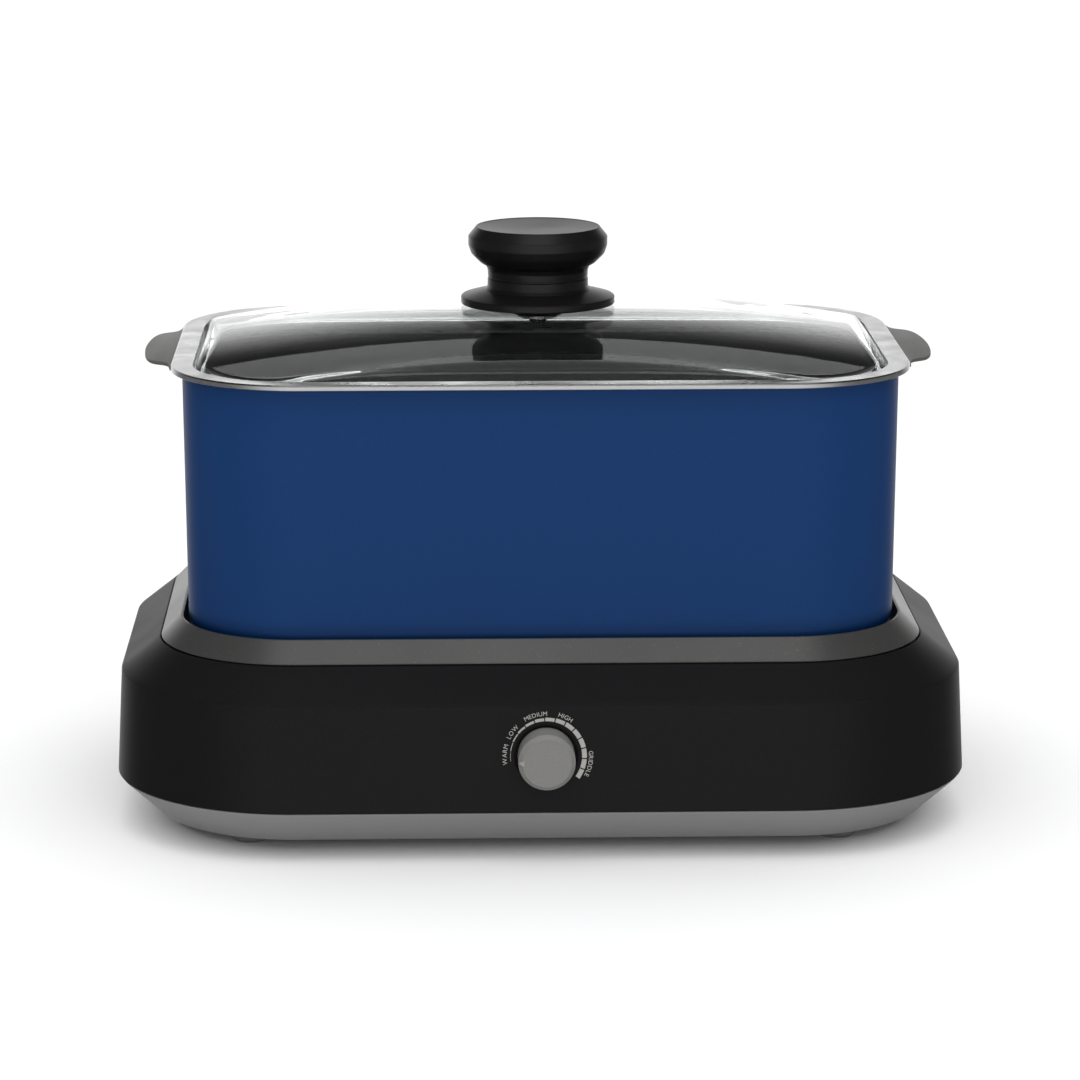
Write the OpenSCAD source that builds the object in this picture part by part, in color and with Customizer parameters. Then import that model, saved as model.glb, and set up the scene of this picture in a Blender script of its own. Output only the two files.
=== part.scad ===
// Oblong slow cooker: a heating base with a griddle plate, a lift-off cooking pot and a drop-in
// glass lid. Millimetres, +Z up, the control knob faces -Y, the feet stand on z = 0.

/* [Heating base] */
// widest size of the base, left to right
base_w = 370; // [330:1:450]
// widest size of the base, front to back
base_d = 261.6; // [218:0.2:320]
// plan corner radius of the base at its widest line
base_corner_r = 79.8; // [77:0.2:84]
// height of the line between the grey cover and the black wall
border_z = 21.8; // [19:0.2:26]
// height of the black wall above that line
wall_h = 46; // [42:1:56]
// how far the black wall leans in over its height
wall_draft = 2.4; // [1.6:0.2:3]
// height of the sloping shoulder above the wall
shoulder_h = 13.6; // [13:0.2:17]
// how far the shoulder leans in
shoulder_in = 16.9; // [16:0.1:18]
// wall thickness of the plastic housing
wall_t = 2.6; // [2.2:0.1:3]
// thickness of the bottom cover
cover_t = 2.5; // [2:0.1:3]
// how far the cover leans in from the border to its floor
cover_in = 17; // [14:0.5:19]

/* [Feet and screws] */
// height of the rubber feet below the cover
foot_h = 5.4; // [4:0.2:7]
// radius of a rubber foot
foot_r = 9; // [7:0.5:11]
// distance of the feet in from the ends of the base
foot_in_x = 59; // [58:0.5:75]
// distance of the feet in from the front and back of the base
foot_in_y = 39.8; // [39:0.2:50]
// radius of the housing screws
screw_r = 1.5; // [1.3:0.1:1.7]
// gap round a screw in its hole
screw_gap = 0.25; // [0.2:0.05:0.4]

/* [Griddle plate] */
// thickness of the griddle plate
plate_t = 4; // [3.5:0.1:5]
// height of the griddle rim above the shoulder
rim_rise = 8.8; // [8:0.2:11]
// how far the griddle rim leans in
rim_in = 9.1; // [8.6:0.1:9.6]
// width of the seam between griddle and housing
seam_gap = 0.5; // [0.4:0.05:0.7]
// radius of the heating tube
tube_r = 3.3; // [2.8:0.1:3.5]
// gap round the heating tube in its channel
tube_gap = 0.15; // [0.1:0.05:0.25]

/* [Cooking pot] */
// gap between the pot wall and the ends of the griddle bowl
pot_gap_x = 2.25; // [1.9:0.05:4]
// gap between the pot wall and the front and back of the griddle bowl
pot_gap_y = 1.5; // [1.2:0.05:3]
// plan corner radius of the pot wall at the bottom
pot_corner_r = 50.6; // [48:0.2:54]
// height of the pot from its bottom to the top of its rim
pot_h = 116.5; // [90:0.1:140]
// how far the pot wall leans out over its height
pot_flare = 1.1; // [0.8:0.1:1.6]
// thickness of the pot wall and floor
pot_t = 3; // [2.6:0.1:3.4]
// radius of the edge between the pot floor and wall
pot_edge_r = 8; // [6:0.5:10]
// how far the rim stands out from the wall
rim_out = 4.8; // [4:0.1:6]
// how far the rim reaches in from the wall
rim_inner = 4.7; // [4.2:0.1:5]
// height of the turned-down edge of the rim
lip_h = 2.4; // [2.2:0.1:3]
// thickness of the flat rim
flange_t = 1.2; // [1:0.1:1.4]
// depth of the lid seat below the rim
seat_depth = 4.6; // [4:0.1:6]
// width of the lid seat
seat_w = 3.4; // [3:0.1:4]

/* [Side handles] */
// how far a handle reaches out beyond the pot wall
handle_reach = 18.75; // [17:0.25:24]
// how far a handle reaches past the straight end of the pot, on each side
handle_over = 2.9; // [-4:0.1:3.4]
// thickness of a handle plate
handle_t = 1.6; // [1.4:0.1:2]
// radius of the pins that hold a handle under the rim
pin_r = 1; // [0.8:0.1:1.1]

/* [Glass lid] */
// thickness of the glass
glass_t = 4; // [3.6:0.1:4.4]
// gap between the glass edge and the rim
glass_gap = 1.3; // [1:0.1:1.8]
// height of the glass crown above its seat
crown_h = 22.1; // [20:0.1:26]
// fall of the glass from the crown to the ends of the lid
crown_fall_x = 10.5; // [8:0.5:11.5]
// fall of the glass from the crown to the long sides
crown_fall_y = 8.1; // [6:0.1:9]

/* [Lid knob] */
// height of the lid knob above the glass
lid_knob_h = 34.1; // [32:0.1:38]
// largest radius of the lid knob
lid_knob_r = 30.6; // [28:0.1:33]
// radius of the lid knob neck
lid_neck_r = 22.2; // [18:0.1:23]
// radius of the flange on the glass
lid_flange_r = 33.9; // [32:0.1:37]
// radius of the lid screw
lid_screw_r = 2.5; // [2:0.1:3]

/* [Control knob] */
// radius of the control knob
dial_r = 12; // [10:0.1:13]
// how far the control knob stands out from the wall
dial_out = 12; // [9:0.5:15]
// height of the control knob axis
dial_z = 46; // [43:0.5:47]
// gap round the knob in its round well
well_gap = 1.4; // [1.2:0.1:2]
// depth of that well
well_depth = 3; // [2.5:0.1:3.4]
// radius of the thermostat shaft
shaft_r = 3; // [2.6:0.1:3.4]
// running gap of the shaft in its bushing
shaft_gap = 0.08; // [0.04:0.01:0.1]

/* [Cord outlet] */
// radius of the hole through the grommet
cord_hole_r = 3.6; // [3:0.1:4.2]
// radius of the grommet flange
grommet_r = 8.5; // [8:0.1:10]
// distance of the cord outlet in from the corner centre of the base
cord_in = 21.2; // [15:0.2:40]
// height of the cord outlet
cord_z = 36; // [34:1:44]

/* [Hidden] */
$fn = 64;
// corner centres of the base, shared by every ring of it
cx = base_w / 2 - base_corner_r;
cy = base_d / 2 - base_corner_r;
foot_x = base_w / 2 - foot_in_x;
foot_y = base_d / 2 - foot_in_y;
cord_x = cx - cord_in;
// heights of the base
cover_z = foot_h;
floor_z = cover_z + cover_t;
wall_z = border_z + wall_h;
shoulder_z = wall_z + shoulder_h;
rim_z = shoulder_z + rim_rise;
// outward distances of the base lines from the corner centres
wall_r = base_corner_r - wall_draft;
shoulder_r = wall_r - shoulder_in;
rim_r = shoulder_r - rim_in;
bowl_r = rim_r - 1.2;
ledge_z = shoulder_z - 3.5;
ledge_in_r = bowl_r - 6.2;
gasket_t = 1.5;
plate_low_z = ledge_z + gasket_t;
plate_top_z = plate_low_z + plate_t;
stud_r = 2;
stud_off = (ledge_in_r + 3.2) * cos(45);
stud_x = cx + stud_off;
stud_y = cy + stud_off;
// pot
pcx = cx + bowl_r - pot_gap_x - pot_corner_r;
pcy = cy + bowl_r - pot_gap_y - pot_corner_r;
pot_z = plate_top_z;
pot_top_z = pot_z + pot_h;
pot_top_r = pot_corner_r + pot_flare;
rim_in_r = pot_top_r - rim_inner;
rim_out_r = pot_top_r + rim_out;
seat_z = pot_top_z - seat_depth;
seat_in_r = rim_in_r - seat_w;
handle_z = pot_top_z - flange_t - handle_t;
end_x = pcx + pot_top_r;
pin_x = end_x + 2.2;
handle_tip_x = end_x + handle_reach;
handle_w = 2 * (pcy + handle_over);
// lid
glass_r = rim_in_r - glass_gap;
crown_z = seat_z + crown_h;
end_span = pcx + glass_r - 9;
side_span = pcy + glass_r - 9;
arc_x = end_span * end_span / (2 * crown_fall_x);
arc_y = side_span * side_span / (2 * crown_fall_y);
knob_base_z = crown_z + 0.35;
// control knob
well_r = dial_r + well_gap;
dial_r_wall = base_corner_r - wall_draft * (dial_z - border_z) / wall_h;
dial_wall_y = cy + dial_r_wall;
well_y = dial_wall_y - well_depth;
knob_out_y = dial_wall_y + dial_out;
rear_r = base_corner_r - wall_draft * (cord_z - border_z) / wall_h;
rear_y = cy + rear_r;
grommet_out_y = rear_y + 2;
// the whole object is centred front to back on z = 0
y_mid = (knob_out_y - grommet_out_y) / 2;
// heating loop
loop_x = cx - 35.2;
loop_y = cy - 27;
loop_r = 30;
tube_z = plate_low_z - 5;
shield_z = tube_z - 14;
shield_t = 0.8;
term_x = 16;
term_y = loop_y + loop_r;
bulb_y = -cy - 24;
bulb_x = 8;
bulb_z = plate_low_z - 3.2;
bracket_y = well_y - 6;
body_y = bracket_y - 1.5;
body_len = 24;
boss_x = cx + 4.8;
boss_y = cy + 33;
post_r = 5;
rib_y = cy + wall_r - 1.6;

// sweeps a profile (x outward from the corner centres, y up) round a rounded rectangle
module sweep_ring(hx, hy) {
  for (k = [0:3]) {
    sx = (k == 0 || k == 3) ? 1 : -1;
    sy = (k < 2) ? 1 : -1;
    translate([sx * hx, sy * hy, 0]) rotate([0, 0, 90 * k]) rotate_extrude(angle = 90) children();
  }
  translate([hx, hy, 0]) rotate([90, 0, 0]) linear_extrude(2 * hy) children();
  translate([-hx, -hy, 0]) rotate([90, 0, 180]) linear_extrude(2 * hy) children();
  translate([-hx, hy, 0]) rotate([90, 0, 90]) linear_extrude(2 * hx) children();
  translate([hx, -hy, 0]) rotate([90, 0, -90]) linear_extrude(2 * hx) children();
}

// fills the middle of a swept plate between two heights
module middle_block(hx, hy, low, high) {
  translate([-hx, -hy, low]) cube([2 * hx, 2 * hy, high - low]);
}

// a round bar along Y, from y0 to y1, at x and z
module bar_y(x, z, r, y0, y1) {
  translate([x, y1, z]) rotate([90, 0, 0]) cylinder(h = y1 - y0, r = r);
}

// a round bar along X, from x0 to x1, at y and z
module bar_x(y, z, r, x0, x1) {
  translate([x0, y, z]) rotate([0, 90, 0]) cylinder(h = x1 - x0, r = r);
}

// the four places that mirror across both middle planes
module four(x, y) {
  for (sx = [-1, 1], sy = [-1, 1]) translate([sx * x, sy * y, 0]) children();
}

module base_housing() color([0.06, 0.06, 0.065]) translate([0, y_mid, 0]) difference() {
  union() {
    sweep_ring(cx, cy) polygon([
      [base_corner_r, border_z], [wall_r + 0.05, wall_z - 0.9], [wall_r - 0.75, wall_z + 0.5],
      [shoulder_r + 0.5, shoulder_z - 0.4], [shoulder_r, shoulder_z - 0.5],
      [shoulder_r - 2.2, ledge_z], [ledge_in_r, ledge_z], [ledge_in_r, ledge_z - 2.6],
      [shoulder_r + 2.6, ledge_z - 2.6], [wall_r - 2.6, wall_z - wall_t * 0.55],
      [base_corner_r - wall_t, border_z]]);
    bar_y(0, dial_z, well_r + 2.4, -dial_wall_y + 1.2, -well_y + 2.5);
    four(boss_x, boss_y) translate([0, 0, floor_z + 6]) cylinder(h = 36, r = post_r);
    for (sx = [-1, 1]) for (sy = [-1, 1])
      translate([sx * boss_x - 1.2, sy > 0 ? boss_y : -rib_y, border_z + 6])
        cube([2.4, rib_y - boss_y, floor_z + 36 - border_z]);
    for (sx = [-1, 1]) bar_y(sx * 19, dial_z, 3.4, -dial_wall_y + 1.4, -bracket_y);
    bar_y(cord_x, cord_z, grommet_r + 1.6, rear_y - 5.2, rear_y - 1.2);
  }
  bar_y(0, dial_z, well_r, -dial_wall_y - 3, -well_y);
  bar_y(0, dial_z, 4.9, -dial_wall_y - 3, -well_y + 20);
  for (sx = [-1, 1]) bar_y(sx * 19, dial_z, screw_r, -bracket_y - 5, -bracket_y + 1);
  four(boss_x, boss_y) translate([0, 0, floor_z]) cylinder(h = 26, r = screw_r);
  four(stud_x, stud_y) translate([0, 0, ledge_z - 5]) cylinder(h = 8, r = stud_r + 0.3);
  bar_y(cord_x, cord_z, cord_hole_r + 2, rear_y - 8, rear_y + 3);
  bar_y(cord_x, cord_z, grommet_r + 0.3, rear_y - 0.6, rear_y + 3);
}

module bottom_cover() color([0.30, 0.30, 0.30]) translate([0, y_mid, 0]) difference() {
  union() {
    sweep_ring(cx, cy) polygon([
      [0, cover_z], [base_corner_r - cover_in - 0.8, cover_z],
      [base_corner_r - cover_in, cover_z + 0.4], [base_corner_r - 0.3, border_z - 0.4],
      [base_corner_r - wall_t - 0.5, border_z - 0.4], [base_corner_r - wall_t - 0.6, border_z + 4],
      [base_corner_r - wall_t - 2.2, border_z + 4], [base_corner_r - wall_t - 2.2, border_z - 1],
      [base_corner_r - cover_in - 2.2, floor_z], [0, floor_z]]);
    middle_block(cx, cy, cover_z, floor_z);
    four(boss_x, boss_y) translate([0, 0, floor_z]) cylinder(h = 6, r = post_r);
    four(foot_x, foot_y) translate([0, 0, floor_z]) cylinder(h = 2.5, r = foot_r - 2);
    translate([cord_x - 30, cy + 20, floor_z]) cube([44, 22, 3]);
  }
  four(boss_x, boss_y) {
    translate([0, 0, cover_z - 1]) cylinder(h = 20, r = screw_r + screw_gap);
    translate([0, 0, cover_z - 1]) cylinder(h = 1 + 4.5, r = 3.6);
  }
  four(foot_x, foot_y) translate([0, 0, cover_z - 1]) cylinder(h = 12, r = 3);
  for (k = [-6:6]) translate([k * 9, 0, 0]) for (s = [-1, 1])
    translate([-1.5, s * 44 - 22, cover_z - 1]) cube([3, 44, cover_t + 2]);
}

module griddle_plate() color([0.22, 0.22, 0.22]) translate([0, y_mid, 0]) difference() {
  union() {
    sweep_ring(cx, cy) polygon([
      [0, plate_low_z], [shoulder_r - 3, plate_low_z],
      [shoulder_r - 0.4 - seam_gap * 0.2, shoulder_z - 0.5 + seam_gap],
      [rim_r + 0.35, rim_z - 0.35], [rim_r, rim_z], [bowl_r + 0.3, rim_z],
      [bowl_r, rim_z - 0.3], [bowl_r - 0.7, plate_top_z + 2.6], [bowl_r - 2.2, plate_top_z + 0.6],
      [bowl_r - 4, plate_top_z], [0, plate_top_z]]);
    middle_block(cx, cy, plate_low_z, plate_top_z);
    four(stud_x, stud_y) translate([0, 0, plate_low_z - 14]) cylinder(h = 15, r = stud_r);
    sweep_ring(loop_x, loop_y) translate([loop_r - 5.5, plate_low_z - 4.6]) square([11, 5]);
    for (s = [-1, 1]) translate([40, s * 11, plate_low_z - 4.9]) cylinder(h = 6, r = 3);
    for (s = [-1, 1]) for (t = [-1, 1])
      translate([s * 45, t * (loop_y + loop_r) - t * 11, plate_low_z - 8.2])
        cylinder(h = 9, r = 3.2);
  }
  sweep_ring(loop_x, loop_y) translate([loop_r, tube_z]) circle(tube_r + tube_gap);
  translate([-term_x - tube_r - 1, term_y - 6, plate_low_z - 6])
    cube([2 * (term_x + tube_r + 1), 12, 6]);
  for (s = [-1, 1]) for (t = [-1, 1])
    translate([s * 45, t * (loop_y + loop_r) - t * 11, plate_low_z - 10])
      cylinder(h = 8, r = 1.5);
}

module plate_gasket() color([0.45, 0.12, 0.08]) translate([0, y_mid, 0])
  sweep_ring(cx, cy) translate([bowl_r, ledge_z]) square([4, gasket_t]);

module plate_nuts() color([0.62, 0.62, 0.60]) translate([0, y_mid, 0])
  four(stud_x, stud_y) difference() {
    union() {
      translate([0, 0, ledge_z - 2.6 - shield_t - 0.8]) cylinder(h = 0.8, r = 3.1);
      translate([0, 0, ledge_z - 2.6 - shield_t - 4]) cylinder(h = 3.2, r = 3.1, $fn = 6);
    }
    translate([0, 0, ledge_z - 8]) cylinder(h = 6, r = stud_r + 0.05);
  }

module heating_element() color([0.36, 0.37, 0.38]) translate([0, y_mid, 0]) {
  difference() {
    sweep_ring(loop_x, loop_y) translate([loop_r, tube_z]) circle(tube_r);
    translate([-term_x, term_y - 6, tube_z - 5]) cube([2 * term_x, 12, 10]);
  }
  for (s = [-1, 1]) {
    translate([s * term_x, term_y, tube_z]) sphere(tube_r);
    translate([s * term_x, term_y, shield_z - 8]) cylinder(h = tube_z - shield_z + 8, r = tube_r);
    translate([s * term_x, term_y, shield_z - 12]) cylinder(h = 5, r = 1.2);
    translate([s * term_x - 3.1, term_y - 0.4, shield_z - 20]) cube([6.2, 0.8, 8.4]);
  }
}

module element_clamps() color([0.60, 0.60, 0.58]) translate([0, y_mid, 0])
  for (s = [-1, 1]) for (t = [-1, 1]) translate([s * 45, t * (loop_y + loop_r), 0]) difference() {
    union() {
      translate([-5, t > 0 ? -16 : -6, tube_z - tube_r - 1.2]) cube([10, 22, 1.2]);
      translate([0, -t * 11, tube_z - tube_r - 3.4]) cylinder(h = 2.2, r = 2.8);
      translate([0, -t * 11, tube_z - tube_r - 2]) cylinder(h = 7.2, r = 1.4);
    }
    translate([0, -t * 11, tube_z - tube_r - 3.5]) cylinder(h = 1.2, r = 1.4, $fn = 6);
  }

module element_insulators() color([0.88, 0.86, 0.80]) translate([0, y_mid, 0])
  for (s = [-1, 1]) translate([s * term_x, term_y, 0]) difference() {
    union() {
      translate([0, 0, shield_z - 3]) cylinder(h = 3, r = 7);
      translate([0, 0, shield_z - 1]) cylinder(h = 5, r = 4.9);
    }
    translate([0, 0, shield_z - 4]) cylinder(h = 10, r = tube_r + 0.1);
  }

module heat_shield() color([0.66, 0.67, 0.68]) translate([0, y_mid, 0]) difference() {
  union() {
    sweep_ring(cx, cy) polygon([
      [0, shield_z], [ledge_in_r - 4, shield_z], [ledge_in_r - 0.8, ledge_z - 2.6 - shield_t],
      [ledge_in_r + 5.6, ledge_z - 2.6 - shield_t], [ledge_in_r + 5.6, ledge_z - 2.6],
      [ledge_in_r - 1.4, ledge_z - 2.6], [ledge_in_r - 4.6, shield_z + shield_t],
      [0, shield_z + shield_t]]);
    middle_block(cx, cy, shield_z, shield_z + shield_t);
  }
  for (s = [-1, 1]) translate([s * term_x, term_y, shield_z - 2]) cylinder(h = 5, r = 5);
  four(stud_x, stud_y) translate([0, 0, ledge_z - 8]) cylinder(h = 8, r = stud_r + 0.4);
  translate([bulb_x, bulb_y, shield_z - 2]) cylinder(h = 5, r = 2.4);
}

module thermostat_body() color([0.80, 0.79, 0.74]) translate([0, y_mid, 0]) difference() {
  union() {
    translate([-15, -body_y, dial_z - 12]) cube([30, body_len, 24]);
    bar_y(0, dial_z, 4.6, -well_y - 1.2, -body_y + 1);
    for (s = [-1, 1]) translate([s * 9 - 3.1, -body_y + body_len, dial_z + 3])
      cube([6.2, 9, 0.8]);
    bar_y(bulb_x, dial_z + 9, 2, -body_y + body_len - 1, -body_y + body_len + 3);
  }
  bar_y(0, dial_z, shaft_r + shaft_gap, -well_y - 3, -body_y + 16);
  bar_y(bulb_x, dial_z + 9, 0.8, -body_y + body_len - 6, -body_y + body_len + 4);
}

module thermostat_bracket() color([0.66, 0.67, 0.68]) translate([0, y_mid, 0]) difference() {
  union() {
    translate([-24, -bracket_y, dial_z - 11]) cube([48, 1.5, 22]);
    translate([-15, -bracket_y, dial_z - 13.8]) cube([30, 16, 1.5]);
    translate([-15, -bracket_y, dial_z - 13.8]) cube([30, 1.5, 4]);
  }
  bar_y(0, dial_z, 4.7, -bracket_y - 1, -bracket_y + 3);
  for (s = [-1, 1]) bar_y(s * 19, dial_z, screw_r + screw_gap, -bracket_y - 1, -bracket_y + 3);
}

module thermostat_screws() color([0.62, 0.62, 0.60]) translate([0, y_mid, 0])
  for (s = [-1, 1]) difference() {
    union() {
      bar_y(s * 19, dial_z, screw_r - 0.05, -bracket_y - 4.5, -bracket_y + 1.6);
      bar_y(s * 19, dial_z, 2.9, -bracket_y + 1.5, -bracket_y + 3.5);
    }
    translate([s * 19 - 2.2, -bracket_y + 2.7, dial_z - 0.4]) cube([4.4, 1, 0.8]);
    translate([s * 19 - 0.4, -bracket_y + 2.7, dial_z - 2.2]) cube([0.8, 1, 4.4]);
  }

module sensor_bulb() color([0.72, 0.45, 0.25]) translate([0, y_mid, 0]) {
  bar_y(bulb_x, dial_z + 9, 0.7, -body_y + body_len - 2, bulb_y);
  translate([bulb_x, bulb_y, dial_z + 9]) sphere(0.7);
  translate([bulb_x, bulb_y, dial_z + 9]) cylinder(h = bulb_z - dial_z - 9, r = 0.7);
  translate([bulb_x, bulb_y, bulb_z]) sphere(0.7);
  bar_x(bulb_y, bulb_z, 0.7, bulb_x - 8, bulb_x);
  bar_x(bulb_y, bulb_z, 3, bulb_x - 68, bulb_x - 6);
}

module thermal_fuse() color([0.78, 0.74, 0.60]) translate([0, y_mid, 0]) {
  bar_x(0, plate_low_z - 2.6, 2.2, 33, 47);
  bar_x(0, plate_low_z - 2.6, 0.6, 20, 60);
  for (x = [20, 60]) translate([x, 0, plate_low_z - 2.6]) sphere(0.6);
  for (x = [20, 60]) translate([x, 0, plate_low_z - 9]) cylinder(h = 6.4, r = 0.6);
}

module fuse_clip() color([0.66, 0.67, 0.68]) translate([0, y_mid, 0]) union() {
  difference() {
    translate([36, -14, plate_low_z - 5.7]) cube([8, 28, 0.8]);
    translate([39, -1, plate_low_z - 6]) cube([2, 2, 2]);
  }
  for (s = [-1, 1]) translate([40, s * 11, plate_low_z - 6.9]) cylinder(h = 1.3, r1 = 1.8, r2 = 2.4);
}

module terminal_block() color([0.86, 0.85, 0.80]) translate([0, y_mid, 0]) difference() {
  translate([cord_x - 26, cy + 23, floor_z + 3]) cube([36, 16, 13]);
  for (k = [0:2]) {
    bar_y(cord_x - 19 + k * 11, floor_z + 8, 2, cy + 20, cy + 42);
    translate([cord_x - 19 + k * 11, cy + 31, floor_z + 11]) cylinder(h = 8, r = 2.4);
  }
}

module lead_wires() color([0.75, 0.72, 0.66]) translate([0, y_mid, 0]) {
  for (s = [-1, 1]) {
    translate([s * term_x, term_y, shield_z - 22]) cylinder(h = 1.5, r = 1.3);
    difference() {
      translate([s * term_x - 3.8, term_y - 1.3, shield_z - 21]) cube([7.6, 2.6, 7]);
      translate([s * term_x - 3.25, term_y - 0.55, shield_z - 20.3]) cube([6.5, 1.1, 8]);
    }
    translate([s * term_x, term_y, shield_z - 22]) sphere(1.3);
    bar_y(s * term_x, shield_z - 22, 1.3, term_y, cy + 14 - s * 4);
    translate([s * term_x, cy + 14 - s * 4, shield_z - 22]) sphere(1.3);
  }
  bar_x(cy + 10, shield_z - 22, 1.3, term_x, cord_x - 19);
  bar_x(cy + 18, shield_z - 22, 1.3, -term_x, cord_x - 8);
  for (k = [0, 1]) translate([cord_x - 19 + k * 11, cy + 10 + k * 8, 0]) {
    translate([0, 0, shield_z - 22]) sphere(1.3);
    translate([0, 0, floor_z + 8]) cylinder(h = shield_z - 30 - floor_z, r = 1.3);
    translate([0, 0, floor_z + 8]) sphere(1.3);
    bar_y(0, floor_z + 8, 1.3, 0, 18 - k * 8);
  }
}

module cord_grommet() color([0.05, 0.05, 0.05]) translate([0, y_mid, 0]) difference() {
  union() {
    bar_y(cord_x, cord_z, cord_hole_r + 1.9, rear_y - 8, rear_y + 2);
    bar_y(cord_x, cord_z, grommet_r, rear_y - 0.5, rear_y + 2);
    bar_y(cord_x, cord_z, cord_hole_r + 3.6, rear_y - 8, rear_y - 5.3);
  }
  bar_y(cord_x, cord_z, cord_hole_r, rear_y - 9, rear_y + 3);
}

module housing_screws() color([0.62, 0.62, 0.60]) translate([0, y_mid, 0])
  four(boss_x, boss_y) difference() {
    union() {
      translate([0, 0, cover_z + 2.5]) cylinder(h = 2, r = 3.1);
      translate([0, 0, cover_z + 4.4]) cylinder(h = 20, r = screw_r - 0.05);
    }
    translate([-2.2, -0.4, cover_z + 2]) cube([4.4, 0.8, 1.6]);
    translate([-0.4, -2.2, cover_z + 2]) cube([0.8, 4.4, 1.6]);
  }

module rubber_feet() color([0.32, 0.32, 0.31]) translate([0, y_mid, 0]) four(foot_x, foot_y) {
  rotate_extrude() polygon([[0, 0], [foot_r - 1.4, 0], [foot_r - 0.6, 0.5], [foot_r, cover_z],
    [0, cover_z]]);
  translate([0, 0, cover_z]) cylinder(h = cover_t + 2.5, r = 2.9);
  translate([0, 0, floor_z + 2.5]) cylinder(h = 1.5, r1 = 4.4, r2 = 3);
}

module thermostat_shaft() color([0.70, 0.70, 0.70]) translate([0, y_mid, 0]) difference() {
  bar_y(0, dial_z, shaft_r, -knob_out_y + 5, -body_y + 15.5);
  translate([-5, -knob_out_y + 4, dial_z + shaft_r - 1.2]) cube([10, 9, 5]);
}

module control_knob() color([0.50, 0.50, 0.49]) translate([0, y_mid, 0]) difference() {
  union() {
    translate([0, -well_y - 0.5, dial_z]) rotate([90, 0, 0]) rotate_extrude() polygon([
      [0, 0], [dial_r - 0.3, 0], [dial_r, 0.4], [dial_r, knob_out_y - well_y - 2.3],
      [dial_r - 1.6, knob_out_y - well_y - 0.5], [0, knob_out_y - well_y - 0.5]]);
  }
  translate([0, -well_y, dial_z]) rotate([90, 0, 0])
    cylinder(h = knob_out_y - well_y - 3, r = dial_r - 1.9);
  translate([-dial_r - 0.9, -knob_out_y + 0.4, dial_z]) rotate([90, 0, 0])
    cylinder(h = 4, r = 2.2, $fn = 3);
}

module knob_spring_clip() color([0.70, 0.70, 0.66]) translate([0, y_mid, 0]) difference() {
  union() {
    bar_y(0, dial_z, 5.6, -knob_out_y + 3.05, -knob_out_y + 13);
    for (k = [0:3]) translate([0, 0, dial_z]) rotate([0, 45 + 90 * k, 0])
      translate([0, -knob_out_y + 3.05, -0.7]) cube([dial_r - 1.95, 6, 1.4]);
  }
  difference() {
    bar_y(0, dial_z, shaft_r + 0.03, -knob_out_y + 4.9, -knob_out_y + 14);
    translate([-5, -knob_out_y + 4, dial_z + shaft_r - 1.15]) cube([10, 9, 5]);
  }
}

module pot_shell() color([0.10, 0.20, 0.42]) translate([0, y_mid, 0]) difference() {
  union() {
    sweep_ring(pcx, pcy) difference() {
      union() {
        polygon([
          [0, pot_z], [pot_corner_r - pot_edge_r, pot_z], [pot_corner_r - 0.05, pot_z + pot_edge_r],
          [pot_corner_r, pot_z + pot_edge_r + 1], [pot_top_r, pot_top_z - flange_t],
          [rim_out_r - 1.1, pot_top_z - flange_t], [rim_out_r - 1.1, pot_top_z - lip_h],
          [rim_out_r - 0.3, pot_top_z - lip_h], [rim_out_r, pot_top_z - lip_h + 0.3],
          [rim_out_r, pot_top_z - 0.7], [rim_out_r - 0.2, pot_top_z - 0.2],
          [rim_out_r - 0.7, pot_top_z], [rim_in_r + 0.8, pot_top_z],
          [rim_in_r + 0.2, pot_top_z - 0.2], [rim_in_r, pot_top_z - 0.8], [rim_in_r, seat_z],
          [seat_in_r + 0.5, seat_z],
          [seat_in_r, seat_z - 0.6], [seat_in_r + 0.2, seat_z - 1.6],
          [pot_top_r - pot_t, seat_z - 6.5], [pot_corner_r - pot_t, pot_z + pot_edge_r],
          [pot_corner_r - pot_edge_r, pot_z + pot_t], [0, pot_z + pot_t]]);
        intersection() {
          translate([pot_corner_r - pot_edge_r, pot_z + pot_edge_r]) circle(pot_edge_r);
          translate([pot_corner_r - pot_edge_r, pot_z]) square([pot_edge_r, pot_edge_r]);
        }
      }
      translate([pot_corner_r - pot_edge_r, pot_z + pot_edge_r]) circle(pot_edge_r - pot_t);
    }
    middle_block(pcx, pcy, pot_z, pot_z + pot_t);
  }
  for (s = [-1, 1]) translate([s > 0 ? end_x + 1 : -end_x - 11, -handle_w / 2 - 0.3, 0])
    translate([0, 0, pot_top_z - lip_h - 1]) cube([10, handle_w + 0.6, lip_h + 1 - flange_t]);
  for (s = [-1, 1]) for (t = [-1:1]) translate([s * pin_x, t * 0.38 * handle_w, handle_z])
    cylinder(h = handle_t + 0.7, r = pin_r);
}

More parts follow.
